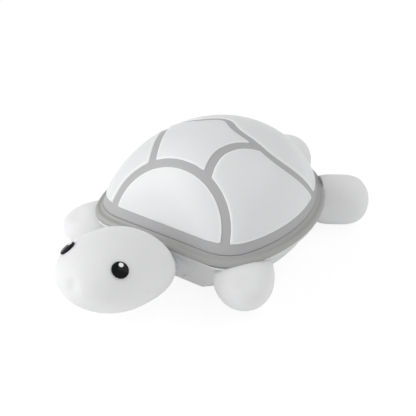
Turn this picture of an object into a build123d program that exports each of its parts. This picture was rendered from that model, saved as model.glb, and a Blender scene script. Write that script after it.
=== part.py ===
from build123d import *
import os
from math import cos, degrees, hypot, pi, radians, sin, sqrt

os.makedirs("parts", exist_ok=True)

# A turtle night light. The turtle faces -Y, its left side is +X, and it stands on Z = 0.

# Gaps shared by the pieces
cut_overrun = 5.0
seat_gap = 0.15
soft_gap = 0.3
travel_gap = 0.3
running_gap = 0.05

# Shell: an egg-shaped dome, cut level at its edge, with a front that leans back
shell_half_width = 44.0
shell_half_length = 55.1
shell_half_height = 44.8
shell_centre_y = 9.15
shell_centre_z = 9.4
shell_edge_z = 21.4
shell_front_y = -26.3
shell_corner_radius = 11.0
front_lean_share = 0.45
corner_steps = 60
shade_wall = 3.2
web_recess = 0.4
web_thickness = 1.4

# Bands of the web: one round the foot, one arch in front, one at each side, one behind
band_width = 3.6
foot_band_height = 4.2
arch_half_width = 27.5
arch_height = 26.3
arch_foot_height = 3.0
arch_leg_width = 2.8
arch_offset_x = 2.0
arch_tilt = 42.0
left_band_shares = ((0.307, -0.402), (0.268, -0.202), (0.489, 0.148))
right_band_shares = ((-0.323, -0.395), (-0.395, -0.239), (-0.625, 0.124))
rear_band_shares = (
    (-0.9, 0.5),
    (-0.773, 0.295),
    (-0.695, 0.215),
    (-0.575, 0.152),
    (-0.43, 0.14),
    (-0.09, 0.271),
    (0.284, 0.146),
    (0.43, 0.138),
    (0.575, 0.152),
    (0.695, 0.215),
    (0.773, 0.295),
    (0.9, 0.5),
)

# Rim under the shell, and the lip of the shade that goes down inside it
rim_thickness = 3.9
rim_overhang = 2.8
rim_round = 1.8
rim_lap = 1.75

# Lip of the tub, that the rim rests on
lip_thickness = 0.9
lip_setback = 0.8

# Belly: a round-bottomed tub with a flat floor
belly_step = 0.3
belly_half_height = 24.4
belly_centre_z = 18.0
belly_floor_z = 1.2
belly_wall = 2.0
belly_front_round = 6.0

# Head, eyes and snout
head_half_width = 20.3
head_half_length = 24.2
head_rear_length = 23.5
head_half_height = 14.9
head_forward = 29.8
head_centre_z = 20.7
head_pitch = -10.8
head_wall = 3.0
neck_width = 28.0
neck_height = 8.0
neck_z = 10.0
neck_wall = 2.2
neck_reach = 22.0
neck_ear = 3.0
neck_ear_thickness = 2.0
eye_radius = 3.45
eye_seat_depth = 0.8
eye_crown = 0.7
eye_stem_radius = 1.4
eye_stem_length = 1.6
eye_shares = (0.637, -0.512, 0.576)
dimple_radius = 9.1
dimple_depth = 0.7
dimple_shares = (0.0, -0.996, 0.076)

# Flippers and tail, each with a plug that goes through the tub wall
front_flipper_half_length = 20.7
front_flipper_half_width = 12.5
front_flipper_half_height = 11.1
front_flipper_share = 0.773
front_flipper_setback = 10.0
front_flipper_z = 11.1
front_flipper_angle = -52.5
front_plug_start = -5.0
front_plug_length = 11.0
rear_flipper_half_length = 14.3
rear_flipper_half_width = 10.3
rear_flipper_half_height = 11.2
rear_flipper_shares = (0.793, 0.8285)
rear_flipper_z = 11.25
rear_flipper_angle = 33.6
rear_plug_start = -17.5
rear_plug_length = 10.5
tail_half_length = 12.6
tail_half_width = 12.2
tail_half_height = 11.3
tail_share = 1.057
tail_z = 14.6
tail_plug_start = -14.0
tail_plug_length = 9.0
flipper_floor_gap = 0.4
plug_radius = 3.5
plug_flange_radius = 5.0
plug_z = 8.6

# Chassis plate, its snaps and the lamp board on it
chassis_thickness = 2.0
upstand_thickness = 1.5
upstand_height = 3.4
snap_width = 6.0
snap_height = 1.7
snap_reach = 1.15
snap_z = 1.3
led_board_half_width = 22.0
led_board_half_length = 28.0
led_board_thickness = 1.6
led_post_radius = 2.6
led_post_height = 3.0
led_post_shares = ((0.0, -0.8), (-0.7, 0.45), (0.7, 0.45))
led_size = 5.0
led_height = 1.6
led_ring_count = 8
led_ring_share = 0.62
led_screw_radius = 0.95
led_screw_head_radius = 1.9
led_screw_head_height = 1.3
led_screw_length = 4.0

# Case screws, their columns in the tub and posts under the chassis
case_screw_front_share = 0.273
case_screw_rear_share = 0.386
case_screw_radius = 1.15
case_screw_head_radius = 2.3
case_screw_head_height = 1.7
case_screw_recess = 2.6
case_screw_length = 9.0
column_radius = 3.2
column_gap = 0.8
column_height = 5.0
chassis_post_radius = 2.6

# Feet
foot_shares = ((-0.5, -0.329), (0.5, -0.329), (-0.545, 0.27), (0.545, 0.27))
foot_radius = 4.0
foot_recess = 0.6

# Button and sliding switch in the tub floor
button_x = -12.0
button_y = 16.0
button_radius = 3.0
button_flange_radius = 4.2
button_flange_thickness = 0.9
button_travel = 0.7
floor_stand_off = 0.5
switch_x = -13.0
switch_y = 2.0
switch_travel = 3.0
knob_length = 6.0
knob_width = 4.0
knob_flange_margin = 2.0
grip_count = 3
lever_size = 1.6
lever_socket_depth = 0.5
lever_engagement = 1.0

# Control board and what is on it
board_length = 32.0
board_width = 28.0
board_thickness = 1.6
board_edge_x = -31.0
board_boss_radius = 2.4
board_boss_inset = 3.4
board_boss_shares = ((-1, -1), (-1, 1), (1, 1))
board_screw_radius = 0.95
board_screw_head_radius = 1.9
board_screw_head_height = 1.3
board_screw_length = 4.0
tact_size = 6.0
tact_height = 3.0
tact_plunger_radius = 1.75
tact_plunger_height = 0.45
slide_body_length = 9.0
slide_body_width = 4.2
slide_body_height = 3.2
chip_sizes = ((5.0, 4.0, 1.5), (3.0, 3.0, 1.2), (4.0, 4.0, 2.0))
chip_shares = ((0.1, -0.1), (-0.55, -0.3), (-0.25, 0.6))
usb_width = 8.94
usb_height = 3.2
usb_depth = 7.35
usb_wall = 0.3
usb_mouth_depth = 6.2
usb_tongue_width = 6.7
usb_tongue_thickness = 0.7
usb_tongue_length = 4.5
usb_overhang = 2.2

# Flap over the charging port
flap_half_width = 6.6
flap_length = 8.8
flap_thickness = 1.4
flap_hinge_z = 10.9
flap_barrel_radius = 1.1
flap_barrel_skin = 0.15
flap_pin_radius = 0.6
flap_pin_length = 1.2
flap_backing = 2.2
flap_backing_margin = 3.0

# Battery on its pad, held down by ribs under the chassis
battery_width = 25.0
battery_length = 40.0
battery_height = 7.0
battery_round = 2.5
battery_gap = 3.5
battery_y = 11.0
battery_pad_thickness = 0.6
battery_pad_inset = 1.0
rib_thickness = 1.6
rib_gap = 0.2
rib_share = 0.5

# Leads
wire_radius = 0.55
wire_bend_radius = 1.5
wire_pitch = 1.7
wire_slack = 3.5
wire_rise = 2.2
wire_hole_radius = 2.6
led_wire_x = -14.0
led_wire_run = 8.0

# Levels that follow from the sizes above
rim_bottom_z = shell_edge_z - rim_thickness
floor_top_z = belly_floor_z + belly_wall
chassis_bottom_z = rim_bottom_z - chassis_thickness
web_depth = web_recess + web_thickness
shade_core_inset = web_depth + seat_gap
flange_low_z = floor_top_z + running_gap
flange_high_z = flange_low_z + button_flange_thickness
plunger_z = flange_high_z + button_travel + running_gap
board_bottom_z = plunger_z + tact_plunger_height + tact_height
board_top_z = board_bottom_z + board_thickness
board_x = board_edge_x + board_width / 2
column_top_z = floor_top_z + column_height
led_board_bottom_z = rim_bottom_z + led_post_height
led_board_top_z = led_board_bottom_z + led_board_thickness
battery_bottom_z = floor_top_z + battery_pad_thickness
battery_top_z = battery_bottom_z + battery_height
board_inner_x = board_edge_x + board_width
battery_inner_x = board_inner_x + battery_gap
battery_x = battery_inner_x + battery_width / 2
battery_front_y = battery_y - battery_length / 2
battery_rear_y = battery_y + battery_length / 2
case_screw_front_y = battery_front_y - column_gap - column_radius
case_screw_rear_y = battery_rear_y + column_gap + column_radius
head_centre_y = shell_front_y - head_forward
front_flipper_x = front_flipper_share * shell_half_width
front_flipper_y = shell_front_y + front_flipper_setback
tail_y = shell_centre_y + tail_share * shell_half_length
lip_bottom_z = rim_bottom_z - lip_thickness


def shell_places(shares):
    """Places on the floor, from shares of the shell's half width and half length."""
    return [(x * shell_half_width, shell_centre_y + y * shell_half_length) for x, y in shares]


case_screw_places = [
    (side * share * shell_half_width, y)
    for share, y in (
        (case_screw_front_share, case_screw_front_y),
        (case_screw_rear_share, case_screw_rear_y),
    )
    for side in (-1, 1)
]
foot_places = shell_places(foot_shares)
left_band_places = shell_places(left_band_shares)
right_band_places = shell_places(right_band_shares)
rear_band_places = shell_places(rear_band_shares)
rear_flipper_x, rear_flipper_y = shell_places([rear_flipper_shares])[0]


def ellipsoid(radius_x, radius_y, radius_z):
    """An ellipsoid about the origin, with its seam on the underside."""
    with BuildPart() as ball:
        Sphere(1, rotation=(0, 90, 0))
        scale(by=(radius_x, radius_y, radius_z))
    return ball.part


def half_egg(half_width, length, half_height, side):
    """The front or the rear half of a rounded form about the origin."""
    with BuildPart() as half:
        Sphere(1, rotation=(90, 0, 0))
        scale(by=(half_width, length, half_height))
        split(bisect_by=Plane.XZ, keep=side)
    return half.part


def egg(half_width, front_length, rear_length, half_height):
    """A rounded form about the origin, with its own length to the front and to the rear."""
    with BuildPart() as form:
        add(half_egg(half_width, front_length, half_height, Keep.TOP))
        add(half_egg(half_width, rear_length, half_height, Keep.BOTTOM))
    return form.part


def shell_edge(inset):
    """Half width and half length of the shell at its edge, that far inside its surface."""
    level_share = (shell_edge_z - shell_centre_z) / (shell_half_height - inset)
    span_share = sqrt(1 - level_share**2)
    return (shell_half_width - inset) * span_share, (shell_half_length - inset) * span_share


def front_plan(half_width, half_length, front_y, corner_radius, plane):
    """A straight front with rounded corners whose sides flare out along the oval's tangent."""
    depth = shell_centre_y - front_y
    corner_x = half_width * sqrt(1 - (depth / half_length) ** 2)
    flare_share = half_width**2 * depth / (half_length**2 * corner_x)
    reach = 2 * half_length
    back_x = corner_x + flare_share * reach
    with BuildSketch(plane) as plan:
        with BuildLine():
            Polyline(
                (-corner_x, front_y),
                (corner_x, front_y),
                (back_x, front_y + reach),
                (-back_x, front_y + reach),
                close=True,
            )
        make_face()
        fillet(plan.vertices().group_by(Axis.Y)[0], corner_radius)
    return plan.sketch


def corner_angle(half_width, half_length, front_y, corner_radius):
    """Angle on the oval, from its front tip, where the corner arc runs into it."""
    low, high = 0.0, pi / 2
    for _ in range(corner_steps):
        angle = (low + high) / 2
        across, along = sin(angle) / half_width, cos(angle) / half_length
        oval_y = shell_centre_y - half_length * cos(angle)
        arc_centre_y = oval_y + corner_radius * along / hypot(across, along)
        if arc_centre_y < front_y + corner_radius:
            low = angle
        else:
            high = angle
    return angle


def edge_outline(inset, plane):
    """The shell's outline at its edge, that far inside its surface."""
    half_width, half_length = shell_edge(inset)
    front_y = shell_front_y + inset
    corner_radius = shell_corner_radius - inset
    angle = corner_angle(half_width, half_length, front_y, corner_radius)
    across, along = sin(angle) / half_width, cos(angle) / half_length
    straight_x = half_width * sin(angle) - corner_radius * across / hypot(across, along)
    with BuildSketch(plane) as outline:
        with BuildLine():
            front = Line((-straight_x, front_y), (straight_x, front_y))
            oval = EllipticalCenterArc(
                (0, shell_centre_y),
                half_width,
                half_length,
                start_angle=degrees(angle) - 90,
                arc_size=360 - 2 * degrees(angle),
            )
            TangentArc(front @ 1, oval @ 0, tangent=front % 1)
            TangentArc(front @ 0, oval @ 1, tangent=-(front % 0))
        make_face()
    return outline.sketch


def edge_ring(outer_inset, inner_inset, low_z, high_z):
    """An upright ring between two outlines of the shell's edge."""
    outer = edge_outline(outer_inset, Plane.XY.offset(low_z))
    inner = edge_outline(inner_inset, Plane.XY.offset(low_z))
    with BuildPart() as ring:
        extrude(outer, amount=high_z - low_z)
        extrude(inner, amount=high_z - low_z, mode=Mode.SUBTRACT)
    return ring.part


def shell_form(inset):
    """The dome as a solid, that far inside its surface."""
    half_width, half_length = shell_edge(inset)
    dome = ellipsoid(shell_half_width - inset, shell_half_length - inset, shell_half_height - inset)
    front = front_plan(
        half_width,
        half_length,
        shell_front_y + inset,
        shell_corner_radius - inset,
        Plane.XY.offset(shell_edge_z),
    )
    lean = Vector(0, front_lean_share, 1)
    with BuildPart() as form:
        with Locations((0, shell_centre_y, shell_centre_z)):
            add(dome)
        extrude(front, amount=shell_half_height * lean.length, dir=lean, mode=Mode.INTERSECT)
    return form.part


def band_region(grow):
    """The space that the web's bands take up, in from every side, widened by grow each way."""
    tilt = radians(arch_tilt)
    arch_plane = Plane(
        origin=(arch_offset_x, shell_front_y, shell_edge_z), x_dir=(1, 0, 0), z_dir=(0, -cos(tilt), sin(tilt))
    )
    leg = arch_leg_width / 2 + grow
    crown = band_width / 2 + grow
    with BuildSketch(arch_plane) as arch:
        with Locations((0, arch_foot_height)):
            Ellipse(arch_half_width + leg, arch_height + crown)
            Ellipse(arch_half_width - leg, arch_height - crown, mode=Mode.SUBTRACT)
    with BuildSketch(Plane.XY.offset(shell_edge_z)) as bands:
        with BuildLine():
            ThreePointArc(*left_band_places)
        trace(line_width=band_width + 2 * grow)
        with BuildLine():
            ThreePointArc(*right_band_places)
        trace(line_width=band_width + 2 * grow)
        with BuildLine():
            Spline(*rear_band_places)
        trace(line_width=band_width + 2 * grow)
    foot = edge_outline(-rim_overhang, Plane.XY.offset(shell_edge_z - grow))
    with BuildPart() as region:
        extrude(foot, amount=foot_band_height + 2 * grow)
        extrude(arch.sketch, amount=shell_half_length, both=True)
        extrude(bands.sketch, amount=shell_half_height)
    return region.part


def belly_side_x(height):
    """Half width of the belly at its widest, at that height."""
    level_share = (height - belly_centre_z) / belly_half_height
    return (shell_edge(0)[0] - belly_step) * sqrt(1 - level_share**2)


def belly_form(inset, top_z=rim_bottom_z):
    """The belly as a solid, that far inside its surface, up to top_z."""
    half_width, half_length = (half - belly_step - inset for half in shell_edge(0))
    bowl = ellipsoid(half_width, half_length, belly_half_height - inset)
    front = front_plan(
        half_width,
        half_length,
        shell_front_y + belly_step + inset,
        shell_corner_radius - inset,
        Plane.XY.offset(belly_floor_z + inset),
    )
    with BuildPart() as block:
        extrude(front, amount=top_z - belly_floor_z - inset)
        low_edges = block.faces().sort_by(Axis.Z)[0].edges()
        front_edges = low_edges.sort_by(Axis.Y)[:3]
        fillet(front_edges, belly_front_round - inset)
    with BuildPart() as form:
        with Locations((0, shell_centre_y, belly_centre_z)):
            add(bowl)
        add(block.part, mode=Mode.INTERSECT)
    return form.part


# Forms that several pieces are cut from
belly_outer = belly_form(0)
belly_inner = belly_form(belly_wall, rim_bottom_z + cut_overrun)
belly_limb_seat = belly_form(-soft_gap)
belly_flange_seat = belly_form(belly_wall + soft_gap)
chassis_seat = belly_form(belly_wall + seat_gap)
flap_outer = belly_form(-cut_overrun)
flap_inner = belly_form(flap_thickness)
flap_floor = belly_form(flap_thickness + travel_gap)
flap_backing_inner = belly_form(belly_wall + flap_backing)

# Shade: raised scutes on a core, hollow, with a lip round its foot and a window for each snap
shade_core = shell_form(shade_core_inset)
shade_hollow = shell_form(shade_wall)
scute_gaps = band_region(seat_gap)
shade_lip = edge_ring(shade_core_inset, shade_wall, rim_bottom_z, shell_edge_z)
upstand_inset = shade_wall + seat_gap
snap_half_width, snap_half_length = shell_edge(upstand_inset)
snap_level_z = rim_bottom_z + snap_z + snap_height / 2
snap_places = (
    Location((snap_half_width, shell_centre_y, snap_level_z)),
    Location((-snap_half_width, shell_centre_y, snap_level_z)),
    Location((0, shell_centre_y + snap_half_length, snap_level_z), (0, 0, 90)),
    Location((0, shell_front_y + upstand_inset, snap_level_z), (0, 0, 90)),
)
with BuildPart() as shell_shade:
    add(shell_form(0))
    add(scute_gaps, mode=Mode.SUBTRACT)
    add(shade_core)
    add(shade_hollow, mode=Mode.SUBTRACT)
    add(shade_lip)
    with Locations(*snap_places):
        Box(
            2 * shade_wall,
            snap_width + 2 * seat_gap,
            snap_height + 2 * seat_gap,
            mode=Mode.SUBTRACT,
        )
shell_shade.part.label = "shell_shade"
export_step(shell_shade.part, "parts/shell_shade.step")

# Web: the grey frame that lies in the channels between the scutes
with BuildPart() as shell_web:
    add(shell_form(web_recess))
    add(shell_form(web_depth), mode=Mode.SUBTRACT)
    add(band_region(0), mode=Mode.INTERSECT)
shell_web.part.label = "shell_web"
export_step(shell_web.part, "parts/shell_web.step")

# Rim: a soft ring held between the shade and the tub
with BuildPart() as shell_rim:
    add(edge_ring(-rim_overhang, rim_lap, rim_bottom_z, shell_edge_z))
    rim_tops = shell_rim.faces().filter_by(Axis.Z)
    fillet([face.outer_wire().edges() for face in rim_tops], rim_round)
shell_rim.part.label = "shell_rim"
export_step(shell_rim.part, "parts/shell_rim.step")

# Planes of the plugs: origin at the limb's middle, local Z outwards along the limb
front_flipper_out = Vector(1, 0, 0).rotate(Axis.Z, front_flipper_angle)
rear_flipper_out = Vector(1, 0, 0).rotate(Axis.Z, rear_flipper_angle)
front_plug_plane = Plane(origin=(front_flipper_x, front_flipper_y, plug_z), z_dir=front_flipper_out)
rear_plug_plane = Plane(origin=(rear_flipper_x, rear_flipper_y, plug_z), z_dir=rear_flipper_out)
tail_plug_plane = Plane(origin=(0, tail_y, plug_z), z_dir=(0, 1, 0))
front_plug_span = (front_plug_start, front_plug_start + front_plug_length)
rear_plug_span = (rear_plug_start, rear_plug_start + rear_plug_length)
tail_plug_span = (tail_plug_start, tail_plug_start + tail_plug_length)


def rod(plane, span, radius):
    """A round bar along a plane's normal, between two places on it."""
    with BuildSketch(plane.offset(span[0])) as section:
        Circle(radius)
    with BuildPart() as bar:
        extrude(section.sketch, amount=span[1] - span[0])
    return bar.part


def limb(form, place, plug_plane, plug_span):
    """A soft limb, trimmed where it meets the tub and its lip, with a flanged plug."""
    stem = rod(plug_plane, plug_span, plug_radius)
    flange_bar = rod(plug_plane, plug_span, plug_flange_radius)
    rim_space = edge_outline(-rim_overhang - soft_gap, Plane.XY.offset(lip_bottom_z - soft_gap))
    with BuildPart() as flange:
        add(flange_bar)
        add(belly_flange_seat, mode=Mode.INTERSECT)
    with BuildPart() as soft:
        with Locations(place):
            add(form)
        split(bisect_by=Plane.XY.offset(flipper_floor_gap), keep=Keep.TOP)
        add(belly_limb_seat, mode=Mode.SUBTRACT)
        extrude(rim_space, amount=shell_half_height, mode=Mode.SUBTRACT)
        add(stem)
        add(flange.part)
    return soft.part


front_limb = limb(
    ellipsoid(front_flipper_half_length, front_flipper_half_width, front_flipper_half_height),
    Location((front_flipper_x, front_flipper_y, front_flipper_z), (0, 0, front_flipper_angle)),
    front_plug_plane,
    front_plug_span,
)
rear_limb = limb(
    ellipsoid(rear_flipper_half_length, rear_flipper_half_width, rear_flipper_half_height),
    Location((rear_flipper_x, rear_flipper_y, rear_flipper_z), (0, 0, rear_flipper_angle)),
    rear_plug_plane,
    rear_plug_span,
)
tail_limb = limb(
    ellipsoid(tail_half_width, tail_half_length, tail_half_height),
    Location((0, tail_y, tail_z)),
    tail_plug_plane,
    tail_plug_span,
)

# Flippers: the right ones mirror the left ones
for end, left_limb in (("front", front_limb), ("rear", rear_limb)):
    with BuildPart() as left_flipper:
        add(left_limb)
    left_flipper.part.label = f"{end}_left_flipper"
    export_step(left_flipper.part, f"parts/{end}_left_flipper.step")
    with BuildPart() as right_flipper:
        mirror(left_limb, about=Plane.YZ)
    right_flipper.part.label = f"{end}_right_flipper"
    export_step(right_flipper.part, f"parts/{end}_right_flipper.step")

# Tail
with BuildPart() as tail:
    add(tail_limb)
tail.part.label = "tail"
export_step(tail.part, "parts/tail.step")

# Places on the head, worked out in its own frame and then pitched with it
head_place = Location((0, head_centre_y, head_centre_z), (head_pitch, 0, 0))
head_radii = (head_half_width, head_half_length, head_half_height)


def head_plane(shares):
    """The plane that touches the head's surface where those shares of its radii lie."""
    spot = Vector(*(share * radius for share, radius in zip(shares, head_radii)))
    outward = Vector(*(share / radius for share, radius in zip(shares, head_radii)))
    return Plane(head_place * Plane(origin=spot, z_dir=outward).location)


left_eye_plane = head_plane(eye_shares)
right_eye_plane = head_plane((-eye_shares[0], eye_shares[1], eye_shares[2]))
snout_plane = head_plane(dimple_shares)

# Head: a hollow soft moulding with a flat neck that plugs into the tub's front wall
head_outer = egg(head_half_width, head_half_length, head_rear_length, head_half_height)
head_inner = egg(
    head_half_width - head_wall,
    head_half_length - head_wall,
    head_rear_length - head_wall,
    head_half_height - head_wall,
)
belly_front_y = shell_front_y + belly_step
neck_inner_y = belly_front_y + belly_wall + soft_gap + neck_ear_thickness
neck_ear_plane = Plane(origin=(0, neck_inner_y, neck_z), x_dir=(1, 0, 0), z_dir=(0, -1, 0))
neck_length = neck_inner_y - belly_front_y + neck_reach
with BuildSketch(neck_ear_plane) as neck_section:
    SlotOverall(neck_width, neck_height)
with BuildSketch(neck_ear_plane) as neck_bore:
    SlotOverall(neck_width - 2 * neck_wall, neck_height - 2 * neck_wall)
with BuildSketch(neck_ear_plane) as neck_ears:
    SlotOverall(neck_width + 2 * neck_ear, neck_height)
with BuildPart() as head_hollow:
    with Locations(head_place):
        add(head_inner)
    extrude(neck_bore.sketch, amount=neck_length)
with BuildPart() as head:
    with Locations(head_place):
        add(head_outer)
    for eye_plane in (left_eye_plane, right_eye_plane):
        with Locations(eye_plane.offset(-eye_seat_depth)):
            Cylinder(
                eye_radius + seat_gap,
                eye_seat_depth + cut_overrun,
                align=(Align.CENTER, Align.CENTER, Align.MIN),
                mode=Mode.SUBTRACT,
            )
            Cylinder(
                eye_stem_radius + seat_gap,
                eye_stem_length + seat_gap,
                align=(Align.CENTER, Align.CENTER, Align.MAX),
                mode=Mode.SUBTRACT,
            )
    with Locations(snout_plane.offset(dimple_radius - dimple_depth)):
        Sphere(dimple_radius, mode=Mode.SUBTRACT)
    extrude(neck_section.sketch, amount=neck_length)
    extrude(neck_ears.sketch, amount=neck_ear_thickness)
    add(head_hollow.part, mode=Mode.SUBTRACT)
head.part.label = "head"
export_step(head.part, "parts/head.step")

# Eyes: domed buttons with a stem
with BuildPart() as eye_form:
    with BuildSketch(Plane.XZ):
        with BuildLine():
            rim_point = (eye_radius, 0)
            crown_point = (0, eye_crown)
            RadiusArc(rim_point, crown_point, -(eye_radius**2 + eye_crown**2) / (2 * eye_crown))
            Polyline(
                crown_point,
                (0, -eye_seat_depth - eye_stem_length),
                (eye_stem_radius, -eye_seat_depth - eye_stem_length),
                (eye_stem_radius, -eye_seat_depth),
                (eye_radius, -eye_seat_depth),
                rim_point,
            )
        make_face()
    revolve(axis=Axis.Z)
for side, eye_plane in (("left", left_eye_plane), ("right", right_eye_plane)):
    with BuildPart() as eye:
        with Locations(eye_plane):
            add(eye_form.part)
    eye.part.label = f"{side}_eye"
    export_step(eye.part, f"parts/{side}_eye.step")

# Belly shell: the tub, with its lip, columns, bosses, holes and the recess for the port's flap
port_y = shell_centre_y
hinge_x = flap_barrel_radius + flap_barrel_skin - belly_side_x(flap_hinge_z)
hinge_plane = Plane(origin=(hinge_x, port_y, flap_hinge_z), z_dir=(0, 1, 0))
port_z = board_bottom_z - usb_height / 2
port_mouth_x = board_edge_x - usb_overhang
port_plane = Plane(origin=(port_mouth_x, port_y, port_z), x_dir=(0, 1, 0), z_dir=(1, 0, 0))
board_bosses = [
    (
        board_x + x * (board_width / 2 - board_boss_inset),
        port_y + y * (board_length / 2 - board_boss_inset),
    )
    for x, y in board_boss_shares
]
backing_width = 2 * (flap_half_width + flap_backing_margin)
with BuildPart() as flap_backing_block:
    with Locations((board_edge_x, port_y, flap_hinge_z + flap_backing_margin)):
        Box(
            shell_half_width,
            backing_width,
            flap_length + 2 * flap_backing_margin,
            align=(Align.MAX, Align.CENTER, Align.MAX),
        )
    add(belly_outer, mode=Mode.INTERSECT)
    add(flap_backing_inner, mode=Mode.SUBTRACT)
recess_half = flap_half_width + travel_gap
pin_half = flap_half_width + flap_pin_length
pin_space_half = pin_half + travel_gap
flap_sweep = rod(hinge_plane, (-flap_half_width, flap_half_width), flap_length)
recess_sweep = rod(hinge_plane, (-recess_half, recess_half), flap_length + travel_gap)
barrel_space = rod(hinge_plane, (-recess_half, recess_half), flap_barrel_radius + 2 * travel_gap)
pin_space = rod(hinge_plane, (-pin_space_half, pin_space_half), flap_pin_radius + running_gap)
with BuildPart() as flap_recess:
    add(recess_sweep)
    split(bisect_by=Plane.XY.offset(flap_hinge_z), keep=Keep.BOTTOM)
    add(flap_outer, mode=Mode.INTERSECT)
    add(flap_floor, mode=Mode.SUBTRACT)
knob_slot_length = knob_length + switch_travel + 2 * travel_gap
tub_lip = edge_ring(lip_setback - rim_overhang, belly_step + belly_wall / 2, lip_bottom_z, rim_bottom_z)
with BuildPart() as belly_shell:
    add(belly_outer)
    add(tub_lip)
    add(belly_inner, mode=Mode.SUBTRACT)
    add(flap_backing_block.part)
    with BuildSketch(Plane.XY.offset(belly_floor_z)):
        with Locations(*case_screw_places):
            Circle(column_radius)
    extrude(amount=column_top_z - belly_floor_z)
    with BuildSketch(Plane.XY.offset(belly_floor_z)):
        with Locations(*board_bosses):
            Circle(board_boss_radius)
    extrude(amount=board_bottom_z - belly_floor_z)
    with Locations(*[(x, y, column_top_z) for x, y in case_screw_places]):
        Hole(case_screw_radius + seat_gap)
    with BuildSketch(Plane.XY.offset(belly_floor_z)):
        with Locations(*case_screw_places):
            Circle(case_screw_head_radius + seat_gap)
    extrude(amount=case_screw_recess, mode=Mode.SUBTRACT)
    with Locations(*[(x, y, board_bottom_z) for x, y in board_bosses]):
        Hole(board_screw_radius + running_gap, depth=board_screw_length)
    with BuildSketch(Plane.XY.offset(belly_floor_z)):
        with Locations(*foot_places):
            Circle(foot_radius + seat_gap)
    extrude(amount=foot_recess, mode=Mode.SUBTRACT)
    with BuildSketch(Plane.XY.offset(belly_floor_z)):
        with Locations((button_x, button_y)):
            Circle(button_radius + travel_gap)
        with Locations((switch_x, switch_y)):
            Rectangle(knob_slot_length, knob_width + 2 * travel_gap)
    extrude(amount=belly_wall, mode=Mode.SUBTRACT)
    for plug_plane, plug_span in ((front_plug_plane, front_plug_span), (rear_plug_plane, rear_plug_span)):
        plug_hole = rod(plug_plane, plug_span, plug_radius + seat_gap)
        add(plug_hole, mode=Mode.SUBTRACT)
        mirror(plug_hole, about=Plane.YZ, mode=Mode.SUBTRACT)
    add(rod(tail_plug_plane, tail_plug_span, plug_radius + seat_gap), mode=Mode.SUBTRACT)
    with BuildSketch(neck_ear_plane):
        SlotOverall(neck_width + 2 * seat_gap, neck_height + 2 * seat_gap)
    extrude(amount=neck_length, mode=Mode.SUBTRACT)
    add(flap_recess.part, mode=Mode.SUBTRACT)
    add(barrel_space, mode=Mode.SUBTRACT)
    add(pin_space, mode=Mode.SUBTRACT)
    with BuildSketch(port_plane.offset(-cut_overrun)):
        SlotOverall(usb_width + 2 * seat_gap, usb_height + 2 * seat_gap)
    extrude(amount=cut_overrun + usb_overhang, mode=Mode.SUBTRACT)
belly_shell.part.label = "belly_shell"
export_step(belly_shell.part, "parts/belly_shell.step")

# Port cover: a flap that lies flush in the tub wall and turns on two trunnions
with BuildPart() as port_cover:
    add(flap_sweep)
    split(bisect_by=Plane.XY.offset(flap_hinge_z), keep=Keep.BOTTOM)
    add(belly_outer, mode=Mode.INTERSECT)
    add(flap_inner, mode=Mode.SUBTRACT)
    add(rod(hinge_plane, (-flap_half_width, flap_half_width), flap_barrel_radius))
    add(rod(hinge_plane, (-pin_half, pin_half), flap_pin_radius))
port_cover.part.label = "port_cover"
export_step(port_cover.part, "parts/port_cover.step")

# Chassis: the plate that closes the tub, with an upstand and snaps for the shade
led_posts = [
    (x * led_board_half_width, shell_centre_y + y * led_board_half_length) for x, y in led_post_shares
]
upstand = edge_ring(
    upstand_inset,
    upstand_inset + upstand_thickness,
    rim_bottom_z,
    rim_bottom_z + upstand_height,
)
led_wire_hole = (led_wire_x, port_y + board_length / 2 + led_wire_run / 2)
rib_spread = rib_share * battery_length / 2
rib_places = [(battery_x, battery_y + side * rib_spread, chassis_bottom_z) for side in (-1, 1)]
with BuildPart() as chassis:
    add(chassis_seat)
    split(bisect_by=Plane.XY.offset(chassis_bottom_z), keep=Keep.TOP)
    add(upstand)
    snap_depth = 2 * snap_reach
    with Locations(*snap_places):
        Box(snap_depth, snap_width, snap_height)
    with BuildSketch(Plane.XY.offset(chassis_bottom_z)):
        with Locations(*case_screw_places):
            Circle(chassis_post_radius)
    extrude(amount=column_top_z - chassis_bottom_z)
    with BuildSketch(Plane.XY.offset(rim_bottom_z)):
        with Locations(*led_posts):
            Circle(led_post_radius)
    extrude(amount=led_post_height)
    with Locations(*rib_places):
        Box(
            battery_width - 2 * battery_round,
            rib_thickness,
            chassis_bottom_z - battery_top_z - rib_gap,
            align=(Align.CENTER, Align.CENTER, Align.MAX),
        )
    with BuildSketch(Plane.XY.offset(column_top_z)):
        with Locations(*case_screw_places):
            Circle(case_screw_radius + running_gap)
    extrude(amount=case_screw_length - (column_top_z - belly_floor_z - case_screw_recess), mode=Mode.SUBTRACT)
    with Locations(*[(x, y, led_board_bottom_z) for x, y in led_posts]):
        Hole(led_screw_radius + running_gap, depth=led_screw_length)
    with BuildSketch(Plane.XY.offset(chassis_bottom_z)):
        with Locations(led_wire_hole):
            Circle(wire_hole_radius)
    extrude(amount=chassis_thickness, mode=Mode.SUBTRACT)
chassis.part.label = "chassis"
export_step(chassis.part, "parts/chassis.step")


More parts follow.
